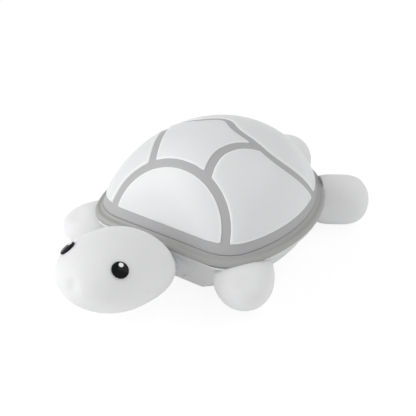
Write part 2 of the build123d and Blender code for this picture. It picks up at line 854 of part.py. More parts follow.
def screws(places, seat_z, head_radius, head_height, shank_radius, length, up):
    """A set of pan-head screws whose heads sit on seat_z; up is 1 where the shanks point up, else -1."""
    with BuildPart() as group:
        for x, y in places:
            with BuildSketch(Plane.XY.offset(seat_z)):
                with Locations((x, y)):
                    Circle(head_radius)
            extrude(amount=-up * head_height)
            with BuildSketch(Plane.XY.offset(seat_z)):
                with Locations((x, y)):
                    Circle(shank_radius)
            extrude(amount=up * length)
        flat_faces = group.faces().filter_by(Axis.Z)
        head_faces = flat_faces.filter_by(lambda face: up * (seat_z - face.center().Z) > 0)
        fillet(head_faces.edges(), head_height / 2)
        for face in head_faces:
            with BuildSketch(Plane(face.center(), x_dir=(1, 0, 0), z_dir=face.normal_at())):
                Rectangle(head_radius, head_radius / 4)
                Rectangle(head_radius / 4, head_radius)
            extrude(amount=-head_height / 2, mode=Mode.SUBTRACT)
    return group.part


# Screws
with BuildPart() as case_screws:
    add(
        screws(
            case_screw_places,
            belly_floor_z + case_screw_recess,
            case_screw_head_radius,
            case_screw_head_height,
            case_screw_radius,
            case_screw_length,
            1,
        )
    )
case_screws.part.label = "case_screws"
export_step(case_screws.part, "parts/case_screws.step")
with BuildPart() as board_screws:
    add(
        screws(
            board_bosses,
            board_top_z,
            board_screw_head_radius,
            board_screw_head_height,
            board_screw_radius,
            board_screw_length + board_thickness,
            -1,
        )
    )
board_screws.part.label = "board_screws"
export_step(board_screws.part, "parts/board_screws.step")
with BuildPart() as led_screws:
    add(
        screws(
            led_posts,
            led_board_top_z,
            led_screw_head_radius,
            led_screw_head_height,
            led_screw_radius,
            led_screw_length + led_board_thickness,
            -1,
        )
    )
led_screws.part.label = "led_screws"
export_step(led_screws.part, "parts/led_screws.step")

# Lamp board and its lamps
with BuildPart() as led_board:
    with BuildSketch(Plane.XY.offset(led_board_bottom_z)):
        with Locations((0, shell_centre_y)):
            Ellipse(led_board_half_width, led_board_half_length)
        with Locations(*led_posts):
            Circle(led_screw_radius + seat_gap, mode=Mode.SUBTRACT)
    extrude(amount=led_board_thickness)
led_board.part.label = "led_board"
export_step(led_board.part, "parts/led_board.step")
with BuildPart() as leds:
    ring_angles = [360 / led_ring_count * (step + 0.5) for step in range(led_ring_count)]
    ring_places = [
        (
            led_ring_share * led_board_half_width * cos(radians(angle)),
            shell_centre_y + led_ring_share * led_board_half_length * sin(radians(angle)),
        )
        for angle in ring_angles
    ]
    with BuildSketch(Plane.XY.offset(led_board_top_z)):
        with Locations((0, shell_centre_y), *ring_places):
            Rectangle(led_size, led_size)
    extrude(amount=led_height)
    chamfer(leds.faces().filter_by(Axis.Z).group_by(Axis.Z)[-1].edges(), led_height / 4)
leds.part.label = "leds"
export_step(leds.part, "parts/leds.step")

# Battery and its pad
with BuildPart() as battery_pad:
    with BuildSketch(Plane.XY.offset(floor_top_z)):
        with Locations((battery_x, battery_y)):
            Rectangle(battery_width - 2 * battery_pad_inset, battery_length - 2 * battery_pad_inset)
    extrude(amount=battery_pad_thickness)
    add(belly_inner, mode=Mode.INTERSECT)
battery_pad.part.label = "battery_pad"
export_step(battery_pad.part, "parts/battery_pad.step")
with BuildPart() as battery:
    with Locations((battery_x, battery_y, battery_bottom_z)):
        Box(
            battery_width,
            battery_length,
            battery_height,
            align=(Align.CENTER, Align.CENTER, Align.MIN),
        )
    fillet(battery.edges().filter_by(Axis.Y), battery_round)
battery.part.label = "battery"
export_step(battery.part, "parts/battery.step")

# Control board
with BuildPart() as control_board:
    with BuildSketch(Plane.XY.offset(board_bottom_z)):
        with Locations((board_x, port_y)):
            Rectangle(board_width, board_length)
        with Locations(*board_bosses):
            Circle(board_screw_radius + seat_gap, mode=Mode.SUBTRACT)
    extrude(amount=board_thickness)
control_board.part.label = "control_board"
export_step(control_board.part, "parts/control_board.step")
with BuildPart() as control_chips:
    for (length, width, height), (x_share, y_share) in zip(chip_sizes, chip_shares):
        chip_x = board_x + x_share * board_width / 2
        chip_y = port_y + y_share * board_length / 2
        with Locations((chip_x, chip_y, board_top_z)):
            Box(
                length,
                width,
                height,
                align=(Align.CENTER, Align.CENTER, Align.MIN),
            )
control_chips.part.label = "control_chips"
export_step(control_chips.part, "parts/control_chips.step")

# Charging port: a metal sleeve with a tongue inside, open towards -X
with BuildPart() as usb_port:
    with BuildSketch(port_plane):
        SlotOverall(usb_width, usb_height)
    extrude(amount=usb_depth)
    with BuildSketch(port_plane):
        SlotOverall(usb_width - 2 * usb_wall, usb_height - 2 * usb_wall)
    extrude(amount=usb_mouth_depth, mode=Mode.SUBTRACT)
    with BuildSketch(port_plane.offset(usb_mouth_depth - usb_tongue_length)):
        Rectangle(usb_tongue_width, usb_tongue_thickness)
    extrude(amount=usb_tongue_length)
usb_port.part.label = "usb_port"
export_step(usb_port.part, "parts/usb_port.step")

# Push switch under the board, above the button
with BuildPart() as tact_switch:
    with Locations((button_x, button_y, board_bottom_z)):
        Box(
            tact_size,
            tact_size,
            tact_height,
            align=(Align.CENTER, Align.CENTER, Align.MAX),
        )
    with BuildSketch(Plane.XY.offset(plunger_z)):
        with Locations((button_x, button_y)):
            Circle(tact_plunger_radius)
    extrude(amount=tact_plunger_height)
tact_switch.part.label = "tact_switch"
export_step(tact_switch.part, "parts/tact_switch.step")

# Mode button
with BuildPart() as mode_button:
    with BuildSketch(Plane.XY.offset(belly_floor_z - floor_stand_off)):
        with Locations((button_x, button_y)):
            Circle(button_radius)
    extrude(amount=flange_high_z - belly_floor_z + floor_stand_off)
    with BuildSketch(Plane.XY.offset(flange_low_z)):
        with Locations((button_x, button_y)):
            Circle(button_flange_radius)
    extrude(amount=button_flange_thickness)
    fillet(mode_button.faces().sort_by(Axis.Z)[0].edges(), floor_stand_off)
mode_button.part.label = "mode_button"
export_step(mode_button.part, "parts/mode_button.step")

# Sliding switch under the board, with its lever and the knob that carries the lever
knob_rest_x = switch_x - switch_travel / 2
slide_bottom_z = board_bottom_z - slide_body_height
lever_space = lever_size + switch_travel + 2 * travel_gap
with BuildPart() as slide_switch:
    with Locations((switch_x, switch_y, board_bottom_z)):
        Box(
            slide_body_length,
            slide_body_width,
            slide_body_height,
            align=(Align.CENTER, Align.CENTER, Align.MAX),
        )
    with Locations((switch_x, switch_y, slide_bottom_z)):
        Box(
            lever_space,
            lever_size + 2 * travel_gap,
            lever_engagement + travel_gap,
            align=(Align.CENTER, Align.CENTER, Align.MIN),
            mode=Mode.SUBTRACT,
        )
slide_switch.part.label = "slide_switch"
export_step(slide_switch.part, "parts/slide_switch.step")
with BuildPart() as switch_lever:
    with Locations((knob_rest_x, switch_y, flange_high_z - lever_socket_depth)):
        Box(
            lever_size,
            lever_size,
            slide_bottom_z + lever_engagement - flange_high_z + lever_socket_depth,
            align=(Align.CENTER, Align.CENTER, Align.MIN),
        )
switch_lever.part.label = "switch_lever"
export_step(switch_lever.part, "parts/switch_lever.step")
with BuildPart() as power_switch:
    with Locations((knob_rest_x, switch_y, belly_floor_z - floor_stand_off)):
        Box(
            knob_length,
            knob_width,
            flange_high_z - belly_floor_z + floor_stand_off,
            align=(Align.CENTER, Align.CENTER, Align.MIN),
        )
    with Locations((knob_rest_x, switch_y, flange_low_z)):
        Box(
            knob_slot_length + switch_travel + knob_flange_margin,
            knob_width + 2 * knob_flange_margin,
            button_flange_thickness,
            align=(Align.CENTER, Align.CENTER, Align.MIN),
        )
    with Locations((knob_rest_x, switch_y, flange_high_z)):
        Box(
            lever_size + 2 * seat_gap,
            lever_size + 2 * seat_gap,
            lever_socket_depth,
            align=(Align.CENTER, Align.CENTER, Align.MAX),
            mode=Mode.SUBTRACT,
        )
    grip_step = knob_length / (grip_count + 1)
    with Locations((knob_rest_x, switch_y, belly_floor_z - floor_stand_off)):
        with GridLocations(grip_step, 0, grip_count, 1):
            Box(
                grip_step / 2,
                knob_width,
                floor_stand_off,
                align=(Align.CENTER, Align.CENTER, Align.MIN),
                mode=Mode.SUBTRACT,
            )
power_switch.part.label = "power_switch"
export_step(power_switch.part, "parts/power_switch.step")

# Feet
with BuildPart() as foot_pads:
    with BuildSketch(Plane.XY):
        with Locations(*foot_places):
            Circle(foot_radius)
    extrude(amount=belly_floor_z + foot_recess)
foot_pads.part.label = "foot_pads"
export_step(foot_pads.part, "parts/foot_pads.step")


def lead(points):
    """A round wire through those points, with its bends rounded."""
    with BuildLine():
        route = FilletPolyline(*points, radius=wire_bend_radius)
    with BuildSketch(Plane(origin=route @ 0, z_dir=route % 0)) as section:
        Circle(wire_radius)
    with BuildPart() as wire:
        sweep(section.sketch, path=route)
    return wire.part


# Leads: a pair from the battery to the control board, and a pair from there to the lamp board
battery_wire_z = battery_top_z - battery_height / 4
board_front_y = port_y - board_length / 2
battery_wire_rise_z = board_top_z + wire_rise
with BuildPart() as battery_wires:
    for index in range(2):
        start_x = battery_inner_x + wire_slack + index * wire_pitch
        end_x = board_inner_x - wire_radius - index * wire_pitch
        bend_y = battery_front_y - wire_slack - index * wire_pitch
        end_y = board_front_y + wire_slack
        add(
            lead(
                [
                    (start_x, battery_front_y, battery_wire_z),
                    (start_x, bend_y, battery_wire_z),
                    (end_x, bend_y, battery_wire_rise_z),
                    (end_x, end_y, battery_wire_rise_z),
                    (end_x, end_y, board_top_z),
                ]
            )
        )
battery_wires.part.label = "battery_wires"
export_step(battery_wires.part, "parts/battery_wires.step")
led_wire_start_y = led_wire_hole[1] - led_wire_run
with BuildPart() as led_wires:
    for index in range(2):
        wire_x = led_wire_hole[0] + (index - 0.5) * wire_pitch
        add(
            lead(
                [
                    (wire_x, led_wire_start_y, board_top_z),
                    (wire_x, led_wire_start_y, board_top_z + wire_rise),
                    (wire_x, led_wire_hole[1], board_top_z + wire_rise),
                    (wire_x, led_wire_hole[1], led_board_bottom_z),
                ]
            )
        )
led_wires.part.label = "led_wires"
export_step(led_wires.part, "parts/led_wires.step")
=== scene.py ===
from math import cos, pi, radians, sin, sqrt

import bpy
import numpy as np
from mathutils import Matrix, Vector


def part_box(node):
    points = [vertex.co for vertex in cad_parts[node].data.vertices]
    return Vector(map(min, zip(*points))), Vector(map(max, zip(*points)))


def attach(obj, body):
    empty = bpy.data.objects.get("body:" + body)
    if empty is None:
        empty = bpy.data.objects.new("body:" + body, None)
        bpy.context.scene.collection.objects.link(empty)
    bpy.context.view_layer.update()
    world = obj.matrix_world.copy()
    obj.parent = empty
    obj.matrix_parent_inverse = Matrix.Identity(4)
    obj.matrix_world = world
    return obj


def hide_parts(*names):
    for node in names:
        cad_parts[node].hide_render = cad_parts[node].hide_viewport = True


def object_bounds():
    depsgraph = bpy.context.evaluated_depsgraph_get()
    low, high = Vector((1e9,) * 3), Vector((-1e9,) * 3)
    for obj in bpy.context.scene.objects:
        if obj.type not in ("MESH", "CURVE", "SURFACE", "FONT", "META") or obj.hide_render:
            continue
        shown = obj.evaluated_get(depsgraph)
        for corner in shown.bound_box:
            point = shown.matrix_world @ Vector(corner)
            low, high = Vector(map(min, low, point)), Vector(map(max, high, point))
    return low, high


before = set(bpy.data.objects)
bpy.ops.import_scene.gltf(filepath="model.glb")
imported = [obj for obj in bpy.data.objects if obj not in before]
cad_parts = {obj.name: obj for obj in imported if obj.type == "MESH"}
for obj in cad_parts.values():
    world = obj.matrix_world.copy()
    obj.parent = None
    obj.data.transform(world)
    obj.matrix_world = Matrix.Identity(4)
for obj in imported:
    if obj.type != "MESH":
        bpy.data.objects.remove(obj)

bl_info = {
    "name": "Turtle night light",
    "version": (1, 0, 0),
    "blender": (4, 5, 0),
    "location": "View3D > Sidebar > Turtle light",
    "description": "Models and finishes a turtle night light over its packed frame",
    "category": "Object",
}

cad_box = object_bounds()
rim_low, rim_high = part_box("shell_rim")
shade_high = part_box("shell_shade")[1]
MAIN_BODY = "body"
SHELL_HALF_HEIGHT = 0.0448

# Fineness of the searches
SEARCH_STEPS = 40
SLOPE_STEP = 1e-5
LEAST_SLOPE = 0.25
WIDEST_SPREAD = 0.8 * pi
NEARLY_ONE = 1 - 1e-6

# Fineness of the meshes: segments round, and rings or segments of the section
ROUND_RINGS = 5
SCUTE_MESH = (224, 60)
CUTTER_MESH = (224, 40)
BAND_MESH = (240, 120)
RIM_MESH = (320, 72)
HEAD_MESH = (128, 96)
NECK_MESH = (64, 48)
COLLAR_MESH = (96, 32)
LIMB_MESH = (96, 64)
ROOT_MESH = (48, 32)
EYE_SEGMENTS = 64

# Angles in degrees past which an edge is shaded sharp
PLAIN_LIMIT = 50
SOFT_LIMIT = 60
BAND_LIMIT = 40

# Insets of an eye's face as shares of its radius, each with its rise as a share of the eye's crown
EYE_STEPS = ((0.12, 0.22), (0.24, 0.26), (0.24, 0.14), (0.22, 0.06))
EYE_SINK_SHARE = 0.7

# Shares that shape the neck, the dent near a flipper's tip, the tail and the edge of the eyes' white dot,
# print that also serves as their painted highlight
NECK_BLUNTNESS = 0.35
DENT_OUT_SHARE = 0.72
DENT_UP_SHARE = 0.6
DENT_REACH_SHARE = 0.3
TAIL_LIFT_SHARE = 0.9
GLINT_EDGE_SHARES = (1.1, 0.9)


def length(name, description, default):
    """A size in metres."""
    return bpy.props.FloatProperty(
        name=name, description=description, default=default, unit="LENGTH", precision=5
    )


def share(name, description, default):
    """A plain ratio."""
    return bpy.props.FloatProperty(name=name, description=description, default=default, subtype="FACTOR")


def angle(name, description, default):
    """An angle, given here in degrees."""
    return bpy.props.FloatProperty(
        name=name, description=description, default=radians(default), subtype="ANGLE"
    )


def count(name, description, default):
    """A number of rounds."""
    return bpy.props.IntProperty(name=name, description=description, default=default)


def watts(name, default):
    """The power of a light."""
    description = f"Power of the {name.lower()} in watts"
    return bpy.props.FloatProperty(name=name, description=description, default=default)


def colour(name, description, default):
    """A surface colour, in linear values."""
    return bpy.props.FloatVectorProperty(
        name=name, description=description, default=default, size=3, min=0, max=1, subtype="COLOR"
    )


def place(name, description, default):
    """A place in the object's own frame, in metres."""
    return bpy.props.FloatVectorProperty(
        name=name, description=description, default=default, size=3,
        unit="LENGTH", subtype="XYZ", precision=5,
    )


class ShellSizes(bpy.types.PropertyGroup):
    """The dome, its front and its foot."""

    half_width: length("Half width", "Half width of the dome's oval", 0.044)
    half_length: length("Half length", "Half length of the dome's oval", 0.0551)
    half_height: length("Half height", "Half height of the dome's oval", SHELL_HALF_HEIGHT)
    centre_y: length("Centre Y", "Where the dome's middle lies along the body", 0.00915)
    centre_z: length("Centre Z", "Height of the dome's middle", shade_high.z - SHELL_HALF_HEIGHT)
    edge_z: length("Edge height", "Height of the dome's foot, on top of the rim", rim_high.z)
    front_y: length("Front Y", "Where the front of the dome stands at its foot", -0.0263)
    front_lean: share("Front lean", "How far the front leans back for its height", 0.45)
    front_blend: length("Front blend", "How widely the front is rounded into the dome above", 0.012)
    foot_blend: length("Foot blend", "How widely it is rounded in at the foot", 0.0075)
    blend_rise: length("Blend rise", "Height above the foot at which the rounding is widest", 0.02)
    band_recess: length("Band recess", "How far the bands lie below the scutes", 0.0004)
    band_depth: length("Band depth", "Thickness of the band frame", 0.0014)
    scute_round: length("Scute edge round", "Radius of a scute's edge", 0.0004)
    foot_round: length("Foot round", "Radius of the foot band's lower edge", 0.0006)
    scute_depth: length("Scute depth", "How far a scute goes down between the bands", 0.0016)
    corner_round: length("Scute corner round", "How widely a scute's corners are rounded", 0.0003)


class BandSizes(bpy.types.PropertyGroup):
    """The bands between the scutes."""

    width: length("Band width", "Width of a band along the dome", 0.0037)
    foot_height: length("Foot band height", "Height of the band round the dome's foot", 0.0042)
    arch_half_width: length("Arch half width", "Half width of the front arch", 0.0275)
    arch_height: length("Arch height", "Height of the front arch above its springing", 0.0263)
    arch_springing: length("Arch springing", "Height at which the arch is widest", 0.003)
    arch_offset: length("Arch offset", "How far the arch lies to the turtle's left", 0.002)
    arch_tilt: angle("Arch tilt", "How far the arch's plane leans back", 42.0)
    left_front: place("Left band front", "Where the left band starts at the arch", (0.0135, -0.013, 0.0))
    left_middle: place("Left band middle", "Where the left band is nearest the spine", (0.0118, -0.002, 0.0))
    left_rear: place("Left band rear", "Where the left band meets the rear band", (0.0215, 0.0173, 0.0))
    right_front: place("Right band front", "Where the right band leaves the arch", (-0.0141, -0.0124, 0.0))
    right_middle: place("Right band middle", "A place halfway along the right band", (-0.0176, -0.0042, 0.0))
    right_rear: place("Right band rear", "Where the right band meets the rear band", (-0.0275, 0.016, 0.0))
    rear_y: length("Rear band Y", "Where the rear band crosses the dome's shoulders", 0.0163)
    bulge_run: length("Bulge run", "How far the rear band goes back near the spine", 0.006)
    bulge_x: length("Bulge X", "Where it is furthest back", -0.002)
    bulge_spread: length("Bulge spread", "How wide that bulge is", 0.007)
    fall_start: length("Fall start", "Where the rear band starts to turn back at a side", 0.02)
    fall_span: length("Fall span", "How far out from there it reaches the foot", 0.017)
    fall_run: length("Fall run", "How far back it has gone by then", 0.0148)
    fall_power: share("Fall power", "How suddenly it turns", 2.45)


class RimSizes(bpy.types.PropertyGroup):
    """The soft rim under the dome."""

    overhang: length("Overhang", "How far the rim stands out past the dome's foot", 0.0028)
    lap: length("Lap", "How far the rim goes in under the dome", 0.00175)
    cove: length("Cove", "How far the rim's top drops below the foot band", 0.0011)
    shoulder: length("Shoulder", "How far the rounding of the rim's outer edges reaches", 0.0012)
    rounding: count("Rounding", "Rounds of corner cutting of its section", 3)


class LimbSizes(bpy.types.PropertyGroup):
    """The flippers and the tail."""

    front_middle: place("Front flipper middle", "Middle of the left front flipper", (0.034, -0.0163, 0.0111))
    front_half_sizes: place(
        "Front flipper half sizes", "Its half length, width and height", (0.0207, 0.0125, 0.0111)
    )
    front_turn: angle("Front flipper turn", "Which way it points, from straight out", -52.5)
    front_press: share("Front press", "How flat the upper half of a front flipper is", 0.74)
    front_power: share("Front power", "How blunt a front flipper is; 2 is an oval", 2.4)
    rear_middle: place("Rear flipper middle", "Middle of the left rear flipper", (0.0349, 0.0548, 0.01125))
    rear_half_sizes: place(
        "Rear flipper half sizes", "Its half length, width and height", (0.0143, 0.0103, 0.0112)
    )
    rear_turn: angle("Rear flipper turn", "Which way it points, from straight out", 33.6)
    rear_press: share("Rear press", "How flat the upper half of a rear flipper is", 1.0)
    rear_power: share("Rear power", "How blunt a rear flipper is; 2 is an oval", 3.4)
    dent_depth: length("Dent depth", "Depth of the dent near a flipper's tip", 0.0007)
    tail_middle: place("Tail middle", "Middle of the tail", (0.0, 0.0674, 0.0146))
    tail_half_sizes: place("Tail half sizes", "Its half width, length and height", (0.0122, 0.0126, 0.0113))
    tail_lift: length("Tail lift", "How far the tail's tip is lifted", 0.0012)
    root_radius: length("Root radius", "Radius of a limb's root in the tub's wall", 0.0045)
    root_half_length: length("Root half length", "Half the length of that root", 0.0055)
    root_z: length("Root Z", "Height of that root's middle", 0.0086)
    front_root: length("Front root", "How far a front flipper's root lies from its middle", 0.0)
    rear_root: length("Rear root", "How far a rear flipper's root lies from its middle", 0.0125)
    tail_root: length("Tail root", "How far the tail's root lies from its middle", 0.0095)
    rim_sink: length("Rim sink", "How far a limb goes in under the rim and the tub's lip", 0.0005)
    lip_thickness: length("Lip thickness", "Thickness of the tub's lip under the rim", 0.0009)
    floor_gap: length("Floor gap", "How far a flipper's underside stays off the floor", 0.0004)
    voxel: length("Voxel", "Cell size at which a limb is evened out", 0.0006)
    soften: count("Soften", "Rounds of softening of a limb's edges", 14)


class HeadSizes(bpy.types.PropertyGroup):
    """The head, the eyes and the snout."""

    half_width: length("Half width", "Half width of the head", 0.0203)
    front_length: length("Front length", "Length of the head before its middle", 0.0242)
    rear_length: length("Rear length", "Length of the head behind its middle", 0.0245)
    rear_power: share("Rear power", "How full the head's rear is; 2 is an oval", 4.0)
    rear_lift: share("Rear lift", "How much of that fullness goes upwards", 0.45)
    half_height: length("Half height", "Half height of the head", 0.0149)
    middle: place("Middle", "Middle of the head", (0.0, -0.0561, 0.0207))
    pitch: angle("Pitch", "How far the snout points up", -10.8)
    eye_radius: length("Eye radius", "Radius of an eye", 0.00345)
    eye_crown: length("Eye crown", "How far an eye stands out", 0.0008)
    eye_shares: bpy.props.FloatVectorProperty(
        name="Eye place", description="Where the left eye lies, as shares of the head's half sizes",
        default=(0.637, -0.512, 0.576), size=3,
    )
    # The white dot on an eye is print that also serves as the eyes' painted highlight
    glint_radius: length("Glint radius", "Radius of the white dot on an eye", 0.00095)
    glint_rise: length("Glint rise", "How far the dot lies above the eye's middle", 0.0016)
    glint_side: length("Glint side", "How far the dot lies towards the back of the eye", 0.0009)
    dimple_depth: length("Dimple depth", "Depth of the snout's dimple", 0.0015)
    dimple_radius: length("Dimple radius", "Radius of the snout's dimple", 0.0042)
    dimple_rise: length("Dimple rise", "How far the dimple lies above the snout's tip", 0.0011)
    eye_socket: length("Eye socket", "How far the head is pressed in round an eye", 0.0003)
    neck_middle: place("Neck middle", "Middle of the neck", (0.0, -0.036, 0.0102))
    neck_half_sizes: place("Neck half sizes", "Its half width, length and height", (0.0095, 0.0155, 0.0054))
    collar_middle: place("Collar middle", "Middle of the collar in the chest", (0.0, -0.0256, 0.010))
    collar_half_sizes: place("Collar half sizes", "Half width, length and height", (0.016, 0.001, 0.0056))
    neck_end: length("Neck end", "Where the neck ends, within the tub's front wall", -0.0252)
    voxel: length("Voxel", "Cell size at which head and neck are blended", 0.0007)
    soften: count("Soften", "Rounds of softening of the blend", 10)


class FinishColours(bpy.types.PropertyGroup):
    """Colours of what shows from outside."""

    shade: colour("Shade", "Translucent white of the scutes", (0.79, 0.80, 0.808))
    # The scutes' rounded edges are painted whiter: a painted highlight where they catch light
    edge_highlight_colour: colour("Shade edge", "Brighter white of the scutes' rounded edges", (0.9, 0.9, 0.9))
    band: colour("Bands", "Grey of the bands", (0.44, 0.44, 0.448))
    rim: colour("Rim", "Warm grey of the rim", (0.41, 0.409, 0.404))
    soft: colour("Soft white", "White of the head and limbs", (0.80, 0.802, 0.806))
    tub: colour("Tub", "White of the tub", (0.75, 0.75, 0.755))
    eye: colour("Eye", "Black of the eyes", (0.006, 0.006, 0.007))
    # White of the eyes' dot: print that also serves as their painted highlight
    glint: colour("Glint", "White of the dot on an eye", (0.9, 0.9, 0.9))
    control: colour("Controls", "Grey of the knob and the button", (0.40, 0.40, 0.41))
    feet: colour("Feet", "Grey of the feet", (0.55, 0.55, 0.55))


class StageSettings(bpy.types.PropertyGroup):
    """Camera, floor and lights."""

    azimuth: angle("Azimuth", "Which side the camera looks from", 36.3)
    elevation: angle("Elevation", "How far above the floor the camera looks from", 32.95)
    distance: length("Distance", "How far the camera is from the pivot", 0.51865)
    pivot: place("Pivot", "What the camera goes round", (0.0, -0.0024, 0.0))
    lens: bpy.props.FloatProperty(
        name="Lens", description="Focal length in millimetres", default=105.53, unit="CAMERA"
    )
    aim_right: share("Aim right", "How far the view is turned right of the pivot", 0.01107)
    aim_up: share("Aim up", "How far the view is turned above the pivot", 0.03715)
    sensor: bpy.props.FloatProperty(
        name="Sensor", description="Width of the sensor in millimetres", default=36, unit="CAMERA"
    )
    clip_start: length("Clip start", "Nearest distance that the camera shows", 0.01)
    light_target: place("Light target", "What the lights point at", (0.0, 0.0, 0.02))
    key_power: watts("Key light", 4.2)
    key_size: length("Key size", "Width of the key light", 0.7)
    key_spot: place("Key place", "Where the key light hangs", (-0.7, -0.6, 0.55))
    fill_power: watts("Fill light", 0.3)
    fill_size: length("Fill size", "Width of the fill light", 0.8)
    fill_spot: place("Fill place", "Where the fill light hangs", (0.75, -0.25, 0.5))
    top_power: watts("Top light", 1.8)
    top_size: length("Top size", "Width of the top light", 0.7)
    top_spot: place("Top place", "Where the top light hangs", (0.45, 0.45, 0.8))
    front_power: watts("Front light", 0.6)
    front_size: length("Front size", "Width of the low front light", 0.4)
    front_spot: place("Front place", "Where the low front light hangs", (-0.3, -0.62, 0.16))
    floor_size: length("Floor size", "Width of the floor", 6.0)
    floor_tone: share("Floor tone", "How pale the floor is", 0.9)
    floor_roughness: share("Floor roughness", "How matt the floor is", 0.9)
    floor_bounce: share("Floor bounce", "Light that the floor adds from below", 0.12)
    floor_glow: share("Floor glow", "Brightness of the white that the camera sees", 1.05)
    floor_glow_share: share("Floor glow share", "How much of the floor is that white", 0.8)
    sky: share("Sky", "Strength of the even light from all round", 0.60)


# Shapes that the pieces share


def oval_gap(points, middle, radii):
    """Signed distance of points from an oval's edge or an oval ball's surface, right near it."""
    scaled = (points - np.asarray(middle)) / np.asarray(radii)
    reach = np.linalg.norm(scaled, axis=-1)
    slope = np.linalg.norm(scaled / np.asarray(radii), axis=-1)
    return reach * (reach - 1) / np.maximum(slope, 1e-9)


def soft_max(first, second, width):
    """The larger of two distances, rounded over where they lie within width of each other."""
    near = np.maximum(width - np.abs(first - second), 0)
    return np.maximum(first, second) + near**2 / (4 * width)


def shell_gap(points):
    """Signed distance of points from the dome's surface: the oval, with its front rounded in."""
    shell = bpy.context.scene.turtle_shell
    radii = (shell.half_width, shell.half_length, shell.half_height)
    dome = oval_gap(points, (0, shell.centre_y, shell.centre_z), radii)
    front_y = shell.front_y + shell.front_lean * (points[..., 2] - shell.edge_z)
    front = (front_y - points[..., 1]) / sqrt(1 + shell.front_lean**2)
    rise = np.clip((points[..., 2] - shell.edge_z) / shell.blend_rise, 0, 1)
    blend = shell.foot_blend + rise * (shell.front_blend - shell.foot_blend)
    return soft_max(dome, front, blend)


def shell_heart():
    """The place inside the dome that its pieces are laid out from."""
    shell = bpy.context.scene.turtle_shell
    return np.array((0, shell.centre_y, shell.edge_z))


def reach(gap, start, directions, offset):
    """Where lines from start reach the surface that lies offset outside a form."""
    near = np.zeros(directions.shape[:-1])
    far = near + max(cad_box[1] - cad_box[0])
    for _ in range(SEARCH_STEPS):
        middle = (near + far) / 2
        outside = gap(start + middle[..., None] * directions) > offset
        far = np.where(outside, middle, far)
        near = np.where(outside, near, middle)
    return start + near[..., None] * directions


def along_shell(gap, points):
    """A gap measured along the dome's surface, so that a band keeps its width on every slope."""
    steps = SLOPE_STEP * np.eye(3)
    slope = np.stack([gap(points + step) - gap(points - step) for step in steps], axis=-1) / (2 * SLOPE_STEP)
    normal = np.stack([shell_gap(points + step) - shell_gap(points - step) for step in steps], axis=-1)
    normal = normal / np.linalg.norm(normal, axis=-1, keepdims=True)
    level = slope - normal * np.sum(slope * normal, axis=-1, keepdims=True)
    return gap(points) / np.maximum(np.linalg.norm(level, axis=-1), LEAST_SLOPE)


def arch_line(points):
    """How far points lie outside the front arch's line, in the arch's own plane."""
    shell, bands = bpy.context.scene.turtle_shell, bpy.context.scene.turtle_bands
    back = points[..., 1] - shell.front_y
    rise = points[..., 2] - shell.edge_z
    tilted = back * sin(bands.arch_tilt) + rise * cos(bands.arch_tilt)
    flat = np.stack((points[..., 0], tilted), axis=-1)
    radii = (bands.arch_half_width, bands.arch_height)
    return oval_gap(flat, (bands.arch_offset, bands.arch_springing), radii)


def fullness(share_along, power):
    """How much wider than an oval a blunt form is, at shares of its half length; power 2 is the oval."""
    share_along = np.clip(share_along, 0, NEARLY_ONE)
    return np.sqrt((1 - share_along**power) / (1 - share_along**2))


def circle_line(points, spots):
    """How far points lie inside the circle through three spots, and straight on past the third."""
    first, second, third = (np.array(spot[:2]) for spot in spots)
    rows = np.array((second - first, third - first))
    sums = np.array((second @ second - first @ first, third @ third - first @ first)) / 2
    centre = np.linalg.solve(rows, sums)
    radius = np.linalg.norm(first - centre)
    inward = (centre - third) / radius
    onward = np.array((-inward[1], inward[0]))
    onward = onward * np.sign(onward @ (third - second))
    past = points[..., :2] - third
    inside = radius - np.linalg.norm(points[..., :2] - centre, axis=-1)
    return np.where(past @ onward > 0, past @ inward, inside)


def left_line(points):
    """How far points lie outside the left band's line."""
    bands = bpy.context.scene.turtle_bands
    return circle_line(points, (bands.left_front, bands.left_middle, bands.left_rear))


def right_line(points):
    """How far points lie outside the right band's line."""
    bands = bpy.context.scene.turtle_bands
    return circle_line(points, (bands.right_front, bands.right_middle, bands.right_rear))


def rear_line(points):
    """How far points lie behind the rear band's line, seen from above."""
    bands = bpy.context.scene.turtle_bands
    across = np.abs(points[..., 0])
    bulge = bands.bulge_run * np.exp(-(((points[..., 0] - bands.bulge_x) / bands.bulge_spread) ** 2))
    fall = bands.fall_run * (np.maximum(across - bands.fall_start, 0) / bands.fall_span) ** bands.fall_power
    return points[..., 1] - bands.rear_y - bulge - fall


def foot_gap(points):
    """How far points lie above the band round the dome's foot."""
    shell, bands = bpy.context.scene.turtle_shell, bpy.context.scene.turtle_bands
    return points[..., 2] - shell.edge_z - bands.foot_height


def bounded(*gaps):
    """The space inside all of these bounds, with its corners a little rounded."""
    width = bpy.context.scene.turtle_shell.corner_round
    whole = gaps[0]
    for gap in gaps[1:]:
        whole = soft_max(whole, gap, width)
    return whole


def half_band():
    """Half the width of a band."""
    return bpy.context.scene.turtle_bands.width / 2


def front_scute(points):
    """Bounds of the scute inside the front arch."""
    return bounded(along_shell(arch_line, points) + half_band(), -foot_gap(points))


def spine_scute(points):
    """Bounds of the scute on the spine, between the side bands."""
    lines = [along_shell(line, points) + half_band() for line in (left_line, right_line, rear_line)]
    return bounded(half_band() - along_shell(arch_line, points), *lines)


def flank_scute(points, inner_line):
    """Bounds of a scute at a side, outside its side band's line."""
    return bounded(
        half_band() - along_shell(arch_line, points),
        half_band() - along_shell(inner_line, points),
        half_band() + along_shell(rear_line, points),
        -foot_gap(points),
    )


def left_scute(points):
    """Bounds of the scute on the turtle's left."""
    return flank_scute(points, left_line)


def right_scute(points):
    """Bounds of the scute on the turtle's right."""
    return flank_scute(points, right_line)


def rear_scute(points):
    """Bounds of the scute over the tail."""
    return bounded(half_band() - along_shell(rear_line, points), -foot_gap(points))


def whole_dome(points):
    """Bounds of the whole dome above its foot."""
    return bpy.context.scene.turtle_shell.edge_z - points[..., 2]


